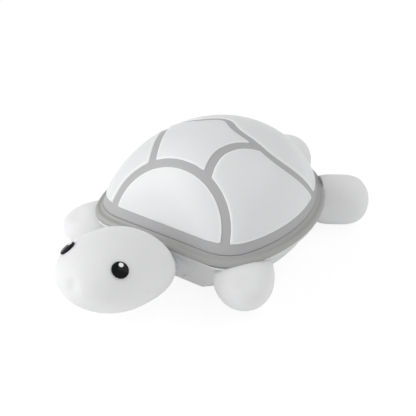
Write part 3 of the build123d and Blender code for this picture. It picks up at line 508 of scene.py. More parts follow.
# Each scute, with a place near its middle in metres
SCUTES = {
    "front_scute": (front_scute, (0.001, -0.0195, 0.035)),
    "spine_scute": (spine_scute, (0.0, 0.004, 0.054)),
    "left_scute": (left_scute, (0.033, 0.006, 0.039)),
    "right_scute": (right_scute, (-0.033, 0.006, 0.039)),
    "rear_scute": (rear_scute, (0.0, 0.044, 0.043)),
}


# Steps of modelling that the operators share


def only(piece):
    """Selects one piece alone and makes it the active one."""
    bpy.ops.object.select_all(action="DESELECT")
    piece.select_set(True)
    bpy.context.view_layer.objects.active = piece


def named(name):
    """Names the piece that was just added, and puts its place and turn into its mesh."""
    piece = bpy.context.object
    piece.name = name
    piece.data.name = name
    bpy.ops.object.transform_apply(location=True, rotation=True, scale=True)
    return piece


def add_ball(name, mesh, middle=(0, 0, 0), half_sizes=(1, 1, 1), turn=(0, 0, 0)):
    """An oval ball at its size and place, to be shaped; mesh is its segments and rings."""
    bpy.ops.object.select_all(action="DESELECT")
    bpy.ops.mesh.primitive_uv_sphere_add(
        segments=mesh[0], ring_count=mesh[1], radius=1, location=middle, rotation=turn, scale=half_sizes
    )
    return named(name)


def add_ring(name, segments, section_segments):
    """A ring to be shaped, lying flat, with a section of a quarter of its radius."""
    bpy.ops.object.select_all(action="DESELECT")
    bpy.ops.mesh.primitive_torus_add(
        major_segments=segments, minor_segments=section_segments, major_radius=1, minor_radius=0.25
    )
    return named(name)


def pull(piece, spot, move, spread):
    """Moves the surface at a spot, and what lies around it by a smooth falloff."""
    points = read_points(piece)
    nearest = int(np.argmin(np.linalg.norm(points - np.asarray(spot), axis=1)))
    only(piece)
    bpy.ops.object.mode_set(mode="EDIT")
    bpy.ops.mesh.select_mode(type="VERT")
    bpy.ops.mesh.select_all(action="DESELECT")
    bpy.ops.object.mode_set(mode="OBJECT")
    piece.data.vertices[nearest].select = True
    bpy.ops.object.mode_set(mode="EDIT")
    bpy.ops.transform.translate(
        value=move, use_proportional_edit=True, proportional_edit_falloff="SMOOTH", proportional_size=spread
    )
    bpy.ops.object.mode_set(mode="OBJECT")


def trim(piece, spot, keep):
    """Cuts a piece off at a spot, square to the side that is kept, and closes it."""
    only(piece)
    bpy.ops.object.mode_set(mode="EDIT")
    bpy.ops.mesh.select_all(action="SELECT")
    bpy.ops.mesh.bisect(plane_co=spot, plane_no=keep, use_fill=True, clear_inner=True)
    bpy.ops.object.mode_set(mode="OBJECT")


def soften(piece, voxel, rounds):
    """Evens a piece out into one soft skin and rounds its edges."""
    even = piece.modifiers.new("even", "REMESH")
    even.mode = "VOXEL"
    even.voxel_size = voxel
    soft = piece.modifiers.new("soft", "SMOOTH")
    soft.factor = 0.5
    soft.iterations = rounds
    apply_modifiers(piece)
    only(piece)
    bpy.ops.object.shade_smooth()


def add_root(piece, middle, turn, setback):
    """Joins to a limb the root that fills its hole in the tub's wall."""
    limbs = bpy.context.scene.turtle_limbs
    spot = (middle[0] - setback * cos(turn), middle[1] - setback * sin(turn), limbs.root_z)
    half_sizes = (limbs.root_half_length, limbs.root_radius, limbs.root_radius)
    root = add_ball("root", ROOT_MESH, spot, half_sizes, (0, 0, turn))
    combine(piece, root, "UNION")


def trim_under_rim(piece):
    """Takes the space of the rim and of the tub's lip out of a limb."""
    rim, limbs = bpy.context.scene.turtle_rim, bpy.context.scene.turtle_limbs
    segments = RIM_MESH[0]
    bpy.ops.object.select_all(action="DESELECT")
    bpy.ops.mesh.primitive_cylinder_add(vertices=segments, radius=1, depth=2, end_fill_type="NGON")
    cutter = named("rim_space")
    unit = read_points(cutter)
    place_of = np.rint(np.arctan2(unit[:, 1], unit[:, 0]) / (2 * pi) * segments).astype(int) % segments
    outline, normal = foot_outline(np.arange(segments) * 2 * pi / segments)
    flat = outline[place_of] + normal[place_of] * (rim.overhang - limbs.rim_sink)
    low_z = rim_low.z - limbs.lip_thickness + limbs.rim_sink
    write_points(cutter, np.column_stack((flat, np.where(unit[:, 2] < 0, low_z, shade_high.z))))
    face_outwards(cutter)
    combine(piece, cutter, "DIFFERENCE")


def combine(piece, other, operation):
    """Joins or cuts a piece with another, and takes the other away."""
    step = piece.modifiers.new("combine", "BOOLEAN")
    step.operation = operation
    step.solver = "EXACT"
    step.object = other
    apply_modifiers(piece)
    bpy.data.objects.remove(other)


def mirrored(piece, name):
    """A copy of a piece on the turtle's other side, with its own mesh."""
    only(piece)
    bpy.ops.object.duplicate()
    twin = bpy.context.object
    bpy.ops.transform.resize(value=(-1, 1, 1), center_override=(0, 0, 0))
    named(name)
    face_outwards(twin)
    return twin


def read_points(piece):
    """The piece's vertices as rows of X, Y, Z."""
    flat = np.empty(3 * len(piece.data.vertices))
    piece.data.vertices.foreach_get("co", flat)
    return flat.reshape(-1, 3)


def write_points(piece, points):
    """Moves the piece's vertices there."""
    piece.data.vertices.foreach_set("co", np.ascontiguousarray(points, dtype=np.float32).ravel())
    piece.data.update()


def apply_modifiers(piece):
    """Applies every modifier of a piece, in order."""
    only(piece)
    for modifier in list(piece.modifiers):
        bpy.ops.object.modifier_apply(modifier=modifier.name)


def face_outwards(piece):
    """Turns all faces of a closed piece outwards."""
    only(piece)
    bpy.ops.object.mode_set(mode="EDIT")
    bpy.ops.mesh.select_all(action="SELECT")
    bpy.ops.mesh.normals_make_consistent(inside=False)
    bpy.ops.object.mode_set(mode="OBJECT")


def smooth(piece, limit=PLAIN_LIMIT):
    """Shades a piece smooth, apart from edges sharper than the limit in degrees."""
    only(piece)
    bpy.ops.object.shade_smooth_by_angle(angle=radians(limit))


def lay_on_dome(name, bounds, middle, levels, mesh):
    """A ball flattened onto the dome inside some bounds: its upper half is the outer face, its lower the
    inner. levels are the outer face's offset, the edge's radius and the inner face's offset."""
    segments, rings = mesh
    outer, edge_round, inner = levels
    heart = shell_heart()
    out = np.asarray(middle) - heart
    out = out / np.linalg.norm(out)
    side = np.cross((0, 0, 1), out) if abs(out[2]) < 0.9 else np.array((1.0, 0, 0))
    side = side - out * (side @ out)
    side = side / np.linalg.norm(side)
    turned = np.cross(out, side)
    turn = np.arange(segments) * 2 * pi / segments
    spoke = np.cos(turn)[:, None] * side + np.sin(turn)[:, None] * turned

    def along(spread, offset):
        """Places on the dome at those angles from the middle, one on each spoke."""
        directions = np.cos(spread)[:, None] * out + np.sin(spread)[:, None] * spoke
        return reach(shell_gap, heart, directions, offset)

    def edge_at(setback):
        """The angle from the middle at which each spoke comes that near to the bounds."""
        near = np.zeros(segments)
        far = near + WIDEST_SPREAD
        for _ in range(SEARCH_STEPS):
            spread = (near + far) / 2
            outside = bounds(along(spread, 0)) > -setback
            far = np.where(outside, spread, far)
            near = np.where(outside, near, spread)
        return near

    half = rings // 2
    flat_edge = edge_at(edge_round)
    places = [along(flat_edge * ring / (half - ROUND_RINGS), outer) for ring in range(half - ROUND_RINGS)]
    for ring in range(ROUND_RINGS + 1):
        fillet = radians(90) * ring / ROUND_RINGS
        drop = edge_round * (1 - cos(fillet))
        edge = edge_at(edge_round * (1 - sin(fillet)))
        places.append(along(edge, outer - drop))
    for ring in range(half + 1, rings + 1):
        places.append(along(edge * (rings - ring) / (half - 1), inner))
    places = np.array(places)

    piece = add_ball(name, mesh)
    unit = read_points(piece)
    ring_of = np.rint(np.arccos(np.clip(unit[:, 2], -1, 1)) / pi * rings).astype(int)
    spoke_of = np.rint(np.arctan2(unit[:, 1], unit[:, 0]) / (2 * pi) * segments).astype(int) % segments
    write_points(piece, places[ring_of, spoke_of])
    # The rings of the rounded edge are marked, for the painted highlight along the scutes' edges
    at_edge = np.abs(ring_of - half + ROUND_RINGS / 2) <= ROUND_RINGS / 2
    highlight_marks = piece.data.attributes.new("edge", "FLOAT", "POINT")
    highlight_marks.data.foreach_set("value", at_edge.astype(np.float32))
    return piece


def foot_outline(turn):
    """The dome's outline at its foot for those angles round it, with its outward directions."""
    directions = np.stack((np.cos(turn), np.sin(turn), np.zeros(len(turn))), axis=-1)
    outline = reach(shell_gap, shell_heart(), directions, 0)[:, :2]
    tangent = np.roll(outline, -1, axis=0) - np.roll(outline, 1, axis=0)
    normal = np.stack((tangent[:, 1], -tangent[:, 0]), axis=-1)
    return outline, normal / np.linalg.norm(normal, axis=-1, keepdims=True)


def rim_section(count):
    """The rim's section, as places out from the dome's foot and heights: a cove on top, round outside."""
    rim = bpy.context.scene.turtle_rim
    low, high, cove, shoulder = rim_low.z, rim_high.z, rim.cove, rim.shoulder
    corners = np.array((
        (-rim.lap, low),
        (rim.overhang - shoulder, low),
        (rim.overhang, low + shoulder / 2),
        (rim.overhang, high - cove - shoulder),
        (rim.overhang - shoulder / 2, high - cove),
        (cove / 4, high - cove),
        (-cove / 4, high),
        (-rim.lap, high),
    ))
    for _ in range(rim.rounding):
        after = np.roll(corners, -1, axis=0)
        cut = (0.75 * corners + 0.25 * after, 0.25 * corners + 0.75 * after)
        corners = np.stack(cut, axis=1).reshape(-1, 2)
    closed = np.vstack((corners, corners[:1]))
    along = np.concatenate(([0], np.cumsum(np.linalg.norm(np.diff(closed, axis=0), axis=1))))
    spots = np.arange(count) * along[-1] / count
    return np.column_stack([np.interp(spots, along, closed[:, axis]) for axis in (0, 1)])


def ring_round_foot(name, mesh):
    """A ring round the shell's foot with the rim's section; mesh is its segments round and in section."""
    segments, section_segments = mesh
    piece = add_ring(name, segments, section_segments)
    unit = read_points(piece)
    turn = np.arctan2(unit[:, 1], unit[:, 0])
    place_of = np.rint(turn / (2 * pi) * segments).astype(int) % segments
    outline, normal = foot_outline(np.arange(segments) * 2 * pi / segments)
    section = np.arctan2(unit[:, 2], np.hypot(unit[:, 0], unit[:, 1]) - 1)
    spot_of = np.rint(section / (2 * pi) * section_segments).astype(int) % section_segments
    offset, height = rim_section(section_segments)[spot_of].T
    flat = outline[place_of] + normal[place_of] * offset[:, None]
    write_points(piece, np.column_stack((flat, height)))
    face_outwards(piece)
    return piece


def finish_piece(piece, material, slot, *nodes):
    """Gives a piece its material and its body, and hides the CAD parts of the nodes that it stands for."""
    piece.data.materials.clear()
    piece.data.materials.append(material)
    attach(piece, MAIN_BODY)
    if nodes:
        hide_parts(*nodes)


def head_matrix():
    """Where the head's own frame stands."""
    head = bpy.context.scene.turtle_head
    return Matrix.Translation(head.middle) @ Matrix.Rotation(head.pitch, 4, "X")


def eye_matrix(side):
    """The frame of an eye: Z out of the head, Y upwards. side is 1 on the turtle's left, -1 on its right."""
    head = bpy.context.scene.turtle_head
    shares = Vector((side * head.eye_shares[0], head.eye_shares[1], head.eye_shares[2]))
    radii = Vector((head.half_width, head.front_length, head.half_height))
    spot = head_matrix() @ Vector(share_of * radius for share_of, radius in zip(shares, radii))
    out = head_matrix().to_3x3() @ Vector(share_of / radius for share_of, radius in zip(shares, radii))
    out.normalize()
    up = (Vector((0, 0, 1)) - out * out.z).normalized()
    across = up.cross(out)
    turned = Matrix((across, up, out)).transposed().to_4x4()
    return Matrix.Translation(spot) @ turned


# Materials


def grain_group():
    """Fine grain of a moulded or soft surface: a height for bumps, and a slow change of tone and gloss."""
    name = "fine_grain"
    if name in bpy.data.node_groups:
        return bpy.data.node_groups[name]
    group = bpy.data.node_groups.new(name, "ShaderNodeTree")
    face = group.interface
    face.new_socket("Grain Scale", in_out="INPUT", socket_type="NodeSocketFloat").default_value = 2500
    face.new_socket("Tone Scale", in_out="INPUT", socket_type="NodeSocketFloat").default_value = 45
    face.new_socket("Gloss Low", in_out="INPUT", socket_type="NodeSocketFloat").default_value = 0.4
    face.new_socket("Gloss High", in_out="INPUT", socket_type="NodeSocketFloat").default_value = 0.5
    face.new_socket("Height", in_out="OUTPUT", socket_type="NodeSocketFloat")
    face.new_socket("Tone", in_out="OUTPUT", socket_type="NodeSocketFloat")
    face.new_socket("Roughness", in_out="OUTPUT", socket_type="NodeSocketFloat")
    nodes, links = group.nodes, group.links
    inputs = nodes.new("NodeGroupInput")
    outputs = nodes.new("NodeGroupOutput")
    where = nodes.new("ShaderNodeTexCoord")
    grain = nodes.new("ShaderNodeTexNoise")
    grain.inputs["Detail"].default_value = 3
    tone = nodes.new("ShaderNodeTexNoise")
    tone.inputs["Detail"].default_value = 2
    gloss = nodes.new("ShaderNodeMapRange")
    links.new(where.outputs["Object"], grain.inputs["Vector"])
    links.new(where.outputs["Object"], tone.inputs["Vector"])
    links.new(inputs.outputs["Grain Scale"], grain.inputs["Scale"])
    links.new(inputs.outputs["Tone Scale"], tone.inputs["Scale"])
    links.new(tone.outputs["Fac"], gloss.inputs["Value"])
    links.new(inputs.outputs["Gloss Low"], gloss.inputs["To Min"])
    links.new(inputs.outputs["Gloss High"], gloss.inputs["To Max"])
    links.new(grain.outputs["Fac"], outputs.inputs["Height"])
    links.new(tone.outputs["Fac"], outputs.inputs["Tone"])
    links.new(gloss.outputs["Result"], outputs.inputs["Roughness"])
    return group


def surface(name, base, gloss, grain_scale=2500, tone_scale=45, tone_depth=0.04, bump=0.06, **settings):
    """A moulded surface with a fine grain: base colour, and gloss as a pair of roughness limits."""
    if name in bpy.data.materials:
        return bpy.data.materials[name]
    material = bpy.data.materials.new(name)
    material.use_nodes = True
    nodes, links = material.node_tree.nodes, material.node_tree.links
    shader = nodes["Principled BSDF"]
    grain = nodes.new("ShaderNodeGroup")
    grain.node_tree = grain_group()
    grain.inputs["Grain Scale"].default_value = grain_scale
    grain.inputs["Tone Scale"].default_value = tone_scale
    grain.inputs["Gloss Low"].default_value = gloss[0]
    grain.inputs["Gloss High"].default_value = gloss[1]
    blend = nodes.new("ShaderNodeMix")
    blend.data_type = "RGBA"
    blend.inputs["A"].default_value = (*base, 1)
    blend.inputs["B"].default_value = (*[channel * (1 - tone_depth) for channel in base], 1)
    height = nodes.new("ShaderNodeBump")
    height.inputs["Strength"].default_value = bump
    height.inputs["Distance"].default_value = 0.0001
    links.new(grain.outputs["Tone"], blend.inputs["Factor"])
    links.new(blend.outputs["Result"], shader.inputs["Base Color"])
    links.new(grain.outputs["Roughness"], shader.inputs["Roughness"])
    links.new(grain.outputs["Height"], height.inputs["Height"])
    links.new(height.outputs["Normal"], shader.inputs["Normal"])
    for socket, value in settings.items():
        shader.inputs[socket.replace("_", " ")].default_value = value
    return material


def shade_finish():
    """Satin translucent white of the scutes, with a painted highlight: whiter colour along their rounded
    edges.
    """
    name = "shade_white_finish"
    if name in bpy.data.materials:
        return bpy.data.materials[name]
    colours = bpy.context.scene.turtle_colours
    material = surface(
        name, colours.shade, (0.3, 0.38), grain_scale=1800, tone_scale=30, tone_depth=0.03, bump=0.03,
        Subsurface_Weight=0.25, Subsurface_Radius=(0.004, 0.004, 0.0042), Subsurface_Scale=1.0,
    )
    nodes, links = material.node_tree.nodes, material.node_tree.links
    shader = nodes["Principled BSDF"]
    # Painted highlight: the marked edge rings are mixed towards a whiter colour
    edge = nodes.new("ShaderNodeAttribute")
    edge.attribute_name = "edge"
    edge_highlit = nodes.new("ShaderNodeMix")
    edge_highlit.data_type = "RGBA"
    edge_highlit.inputs["B"].default_value = (*colours.edge_highlight_colour, 1)
    plain = shader.inputs["Base Color"].links[0].from_socket
    links.new(edge.outputs["Fac"], edge_highlit.inputs["Factor"])
    links.new(plain, edge_highlit.inputs["A"])
    links.new(edge_highlit.outputs["Result"], shader.inputs["Base Color"])
    return material


def band_finish():
    """Satin grey of the bands."""
    return surface("band_grey_finish", bpy.context.scene.turtle_colours.band, (0.42, 0.5), tone_depth=0.05)


def rim_finish():
    """Matt soft grey of the rim."""
    return surface(
        "rim_grey_finish", bpy.context.scene.turtle_colours.rim, (0.5, 0.6),
        grain_scale=3200, tone_depth=0.06, bump=0.08,
    )


def soft_finish():
    """Matt soft white of the head and the limbs."""
    colours = bpy.context.scene.turtle_colours
    return surface(
        "soft_white_finish", colours.soft, (0.55, 0.66),
        grain_scale=3600, tone_scale=60, tone_depth=0.03, bump=0.05,
        Subsurface_Weight=0.3, Subsurface_Radius=(0.005, 0.0046, 0.0044), Subsurface_Scale=1.0,
        Sheen_Weight=0.08,
    )


def tub_finish():
    """Satin white of the tub."""
    return surface("tub_white_finish", bpy.context.scene.turtle_colours.tub, (0.42, 0.52), tone_depth=0.04)


def eye_finish():
    """Glossy black with little reflection, and one round white dot towards the top: print on the eyes that
    also serves as their painted highlight.
    """
    name = "eye_black_finish"
    if name in bpy.data.materials:
        return bpy.data.materials[name]
    head, colours = bpy.context.scene.turtle_head, bpy.context.scene.turtle_colours
    material = surface(name, colours.eye, (0.06, 0.1), grain_scale=1500, tone_depth=0.2, bump=0.01)
    shader = material.node_tree.nodes["Principled BSDF"]
    shader.inputs["Specular IOR Level"].default_value = 0.12
    nodes, links = material.node_tree.nodes, material.node_tree.links
    # Where the white dot lies: print that also serves as the painted highlight, the same on both eyes
    spot = eye_matrix(1) @ Vector((head.glint_side, head.glint_rise, head.eye_crown))
    where = nodes.new("ShaderNodeTexCoord")
    folded = nodes.new("ShaderNodeVectorMath")
    folded.operation = "ABSOLUTE"
    away = nodes.new("ShaderNodeVectorMath")
    away.operation = "DISTANCE"
    away.inputs[1].default_value = (abs(spot.x), abs(spot.y), abs(spot.z))
    inside = nodes.new("ShaderNodeMapRange")
    inside.inputs["From Min"].default_value = head.glint_radius * GLINT_EDGE_SHARES[0]
    inside.inputs["From Max"].default_value = head.glint_radius * GLINT_EDGE_SHARES[1]
    print_and_highlight = nodes.new("ShaderNodeMix")
    print_and_highlight.data_type = "RGBA"
    print_and_highlight.inputs["B"].default_value = (*colours.glint, 1)
    plain = shader.inputs["Base Color"].links[0].from_socket
    links.new(where.outputs["Object"], folded.inputs[0])
    links.new(folded.outputs["Vector"], away.inputs[0])
    links.new(away.outputs["Value"], inside.inputs["Value"])
    links.new(inside.outputs["Result"], print_and_highlight.inputs["Factor"])
    links.new(plain, print_and_highlight.inputs["A"])
    links.new(print_and_highlight.outputs["Result"], shader.inputs["Base Color"])
    return material


# Operators


class TURTLE_OT_scutes(bpy.types.Operator):
    """Lay the five raised scutes on the dome"""

    bl_idname = "turtle.scutes"
    bl_label = "Scutes"

    def execute(self, context):
        shell = context.scene.turtle_shell
        levels = (0, shell.scute_round, -shell.scute_depth)
        for name, (bounds, middle) in SCUTES.items():
            piece = lay_on_dome(name, bounds, middle, levels, SCUTE_MESH)
            face_outwards(piece)
            smooth(piece, SOFT_LIMIT)
            finish_piece(piece, shade_finish(), "shade_white", "shell_shade")
        return {"FINISHED"}


class TURTLE_OT_bands(bpy.types.Operator):
    """Cut the grey band frame out of a thin dome"""

    bl_idname = "turtle.bands"
    bl_label = "Bands"

    def execute(self, context):
        shell = context.scene.turtle_shell
        top = (0, shell.centre_y, shade_high.z)
        levels = (-shell.band_recess, shell.foot_round, -shell.band_recess - shell.band_depth)
        web = lay_on_dome("shell_bands", whole_dome, top, levels, BAND_MESH)
        face_outwards(web)
        for name, (bounds, middle) in SCUTES.items():
            past = (2 * shell.band_depth, shell.band_recess / 4, -4 * shell.band_depth)
            cutter = lay_on_dome(f"{name}_cutter", bounds, middle, past, CUTTER_MESH)
            face_outwards(cutter)
            combine(web, cutter, "DIFFERENCE")
        smooth(web, BAND_LIMIT)
        finish_piece(web, band_finish(), "band_grey", "shell_web")
        return {"FINISHED"}


class TURTLE_OT_rim(bpy.types.Operator):
    """Shape the soft rim round the shell's foot"""

    bl_idname = "turtle.rim"
    bl_label = "Rim"

    def execute(self, context):
        ring = ring_round_foot("soft_rim", RIM_MESH)
        smooth(ring)
        finish_piece(ring, rim_finish(), "rim_grey", "shell_rim")
        return {"FINISHED"}


class TURTLE_OT_head(bpy.types.Operator):
    """Shape the head with its snout and blend the neck into it"""

    bl_idname = "turtle.head"
    bl_label = "Head and neck"

    def execute(self, context):
        head = context.scene.turtle_head
        half_sizes = (head.half_width, head.front_length, head.half_height)
        piece = add_ball("soft_head", HEAD_MESH, half_sizes=half_sizes)
        points = read_points(piece)
        fuller = fullness(points[:, 1] / head.front_length, head.rear_power)
        points[:, 0] *= fuller
        points[:, 2] *= 1 + head.rear_lift * (fuller - 1)
        points[:, 1] *= np.where(points[:, 1] > 0, head.rear_length / head.front_length, 1)
        place_head = np.array(head_matrix())
        write_points(piece, points @ place_head[:3, :3].T + place_head[:3, 3])
        snout = head_matrix() @ Vector((0, -head.front_length, head.dimple_rise))
        pull(piece, snout, (0, head.dimple_depth, 0), head.dimple_radius)
        for side in (1, -1):
            socket = eye_matrix(side)
            pull(piece, socket.translation, -head.eye_socket * socket.col[2].xyz, 2 * head.eye_radius)
        neck = add_ball("neck", NECK_MESH, head.neck_middle, head.neck_half_sizes)
        blocky = read_points(neck) - np.array(head.neck_middle)
        along = np.abs(blocky[:, 1]) / head.neck_half_sizes[1]
        fuller = np.maximum(1 - along**2, 1e-6) ** -NECK_BLUNTNESS
        blocky[:, 0] *= fuller
        blocky[:, 2] *= fuller
        write_points(neck, blocky + np.array(head.neck_middle))
        bpy.ops.object.select_all(action="DESELECT")
        neck.select_set(True)
        piece.select_set(True)
        bpy.context.view_layer.objects.active = piece
        bpy.ops.object.join()
        soften(piece, head.voxel, head.soften)
        collar = add_ball("collar", COLLAR_MESH, head.collar_middle, head.collar_half_sizes)
        combine(piece, collar, "UNION")
        trim(piece, (0, head.neck_end, 0), (0, -1, 0))
        smooth(piece, SOFT_LIMIT)
        finish_piece(piece, soft_finish(), "soft_white", "head")
        return {"FINISHED"}


class TURTLE_OT_eyes(bpy.types.Operator):
    """Shape a domed eye with a rounded edge and copy it to the other side"""

    bl_idname = "turtle.eyes"
    bl_label = "Eyes"

    def execute(self, context):
        head = context.scene.turtle_head
        radius, crown = head.eye_radius, head.eye_crown
        bpy.ops.object.select_all(action="DESELECT")
        bpy.ops.mesh.primitive_cylinder_add(
            vertices=EYE_SEGMENTS, radius=radius, depth=2 * crown, end_fill_type="NGON"
        )
        piece = named("glossy_left_eye")
        only(piece)
        bpy.ops.object.mode_set(mode="EDIT")
        bpy.ops.mesh.select_mode(type="FACE")
        bpy.ops.mesh.select_all(action="DESELECT")
        bpy.ops.object.mode_set(mode="OBJECT")
        for face in piece.data.polygons:
            face.select = face.normal.z > 0.9
        bpy.ops.object.mode_set(mode="EDIT")
        bpy.ops.transform.translate(value=(0, 0, -EYE_SINK_SHARE * crown))
        for step, rise in EYE_STEPS:
            bpy.ops.mesh.inset(thickness=step * radius)
            bpy.ops.transform.translate(value=(0, 0, rise * crown))
        bpy.ops.object.mode_set(mode="OBJECT")
        rounded = piece.modifiers.new("rounded", "SUBSURF")
        rounded.levels = 2
        apply_modifiers(piece)
        stand = np.array(eye_matrix(1))
        write_points(piece, read_points(piece) @ stand[:3, :3].T + stand[:3, 3])
        smooth(piece)
        twin = mirrored(piece, "glossy_right_eye")
        finish_piece(piece, eye_finish(), "eye_black", "left_eye")
        finish_piece(twin, eye_finish(), "eye_black", "right_eye")
        return {"FINISHED"}


class TURTLE_OT_flippers(bpy.types.Operator):
    """Shape a front and a rear flipper and copy them to the other side"""

    bl_idname = "turtle.flippers"
    bl_label = "Flippers"

    def execute(self, context):
        limbs = context.scene.turtle_limbs
        front = self.paddle(
            "soft_front_left_flipper", limbs.front_middle, limbs.front_half_sizes, limbs.front_turn,
            limbs.front_power, limbs.front_press, limbs.front_root,
        )
        rear = self.paddle(
            "soft_rear_left_flipper", limbs.rear_middle, limbs.rear_half_sizes, limbs.rear_turn,
            limbs.rear_power, limbs.rear_press, limbs.rear_root,
        )
        for piece, end in ((front, "front"), (rear, "rear")):
            twin = mirrored(piece, f"soft_{end}_right_flipper")
            finish_piece(piece, soft_finish(), "soft_white", f"{end}_left_flipper")
            finish_piece(twin, soft_finish(), "soft_white", f"{end}_right_flipper")
        return {"FINISHED"}

    def paddle(self, name, middle, half_sizes, turn, power, press, setback):
        """A soft paddle with a flat underside and a shallow dent near its tip."""
        limbs = bpy.context.scene.turtle_limbs
        piece = add_ball(name, LIMB_MESH, middle, half_sizes, (0, 0, turn))
        out = Vector((cos(turn), sin(turn), 0))
        points = read_points(piece) - np.array(middle)
        along = points @ np.array(out)
        fuller = fullness(np.abs(along) / half_sizes[0], power)
        lengthwise = np.outer(along, np.array(out))
        across = (points - lengthwise) * fuller[:, None]
        across[:, 2] *= np.where(across[:, 2] > 0, press, 1)
        write_points(piece, lengthwise + across + np.array(middle))
        up = Vector((0, 0, 1))
        rise = Vector((0, 0, half_sizes[2] * DENT_UP_SHARE))
        dent = Vector(middle) + out * half_sizes[0] * DENT_OUT_SHARE + rise
        pull(piece, dent, -limbs.dent_depth * (out + up), DENT_REACH_SHARE * half_sizes[0])
        trim(piece, (0, 0, limbs.floor_gap), (0, 0, 1))
        add_root(piece, middle, turn, setback)
        soften(piece, limbs.voxel, limbs.soften)
        trim_under_rim(piece)
        smooth(piece, SOFT_LIMIT)
        return piece


class TURTLE_OT_tail(bpy.types.Operator):
    """Shape the round tail"""

    bl_idname = "turtle.tail"
    bl_label = "Tail"

    def execute(self, context):
        limbs = context.scene.turtle_limbs
        piece = add_ball("soft_tail", LIMB_MESH, limbs.tail_middle, limbs.tail_half_sizes)
        tip = Vector(limbs.tail_middle) + Vector((0, limbs.tail_half_sizes[1], 0))
        pull(piece, tip, (0, 0, limbs.tail_lift), TAIL_LIFT_SHARE * limbs.tail_half_sizes[1])
        add_root(piece, limbs.tail_middle, radians(90), limbs.tail_root)
        soften(piece, limbs.voxel, limbs.soften)
        trim_under_rim(piece)
        smooth(piece, SOFT_LIMIT)
        finish_piece(piece, soft_finish(), "soft_white", "tail")
        return {"FINISHED"}


class TURTLE_OT_nodes(bpy.types.Operator):
    """Give the pieces that keep their own shape their finishes"""

    bl_idname = "turtle.nodes"
    bl_label = "Tub, controls and inside"

    def execute(self, context):
        colours = context.scene.turtle_colours
        control = surface("control_grey_finish", colours.control, (0.4, 0.5), tone_depth=0.06)
        feet = surface(
            "foot_rubber_finish", colours.feet, (0.7, 0.8), grain_scale=4000, tone_depth=0.1, bump=0.15
        )
        steel = surface(
            "screw_steel_finish", (0.55, 0.55, 0.56), (0.25, 0.38), tone_depth=0.15, Metallic=1.0
        )
        black = surface("switch_black_finish", (0.02, 0.02, 0.02), (0.4, 0.55), tone_depth=0.2)
        board = surface(
            "board_green_finish", (0.02, 0.14, 0.06), (0.25, 0.4), tone_scale=400, tone_depth=0.3
        )
        white_board = surface(
            "board_white_finish", (0.8, 0.8, 0.78), (0.3, 0.4), tone_scale=300, tone_depth=0.1
        )
        lamp = surface("lamp_lens_finish", (0.85, 0.72, 0.3), (0.15, 0.25), tone_scale=600, tone_depth=0.2)
        pouch = surface("cell_pouch_finish", (0.66, 0.67, 0.69), (0.28, 0.42), tone_depth=0.12, Metallic=0.8)
        foam = surface("foam_black_finish", (0.03, 0.03, 0.03), (0.85, 0.95), grain_scale=1200, bump=0.5)
        red = surface("lead_red_finish", (0.4, 0.02, 0.02), (0.35, 0.45), tone_depth=0.15)
        pale = surface("lead_white_finish", (0.75, 0.75, 0.73), (0.35, 0.45), tone_depth=0.1)
        finishes = {
            "belly_shell": tub_finish(), "port_cover": tub_finish(), "chassis": tub_finish(),
            "power_switch": control, "mode_button": control, "foot_pads": feet,
            "case_screws": steel, "board_screws": steel, "led_screws": steel, "usb_port": steel,
            "tact_switch": black, "slide_switch": black, "switch_lever": black, "control_chips": black,
            "control_board": board, "led_board": white_board, "leds": lamp, "battery": pouch,
            "battery_pad": foam, "battery_wires": red, "led_wires": pale,
        }
        soft = soft_finish()
        for name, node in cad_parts.items():
            finish = finishes.get(name, soft)
            if not node.material_slots:
                node.data.materials.append(finish)
            for slot in node.material_slots:
                slot.material = finish
        return {"FINISHED"}


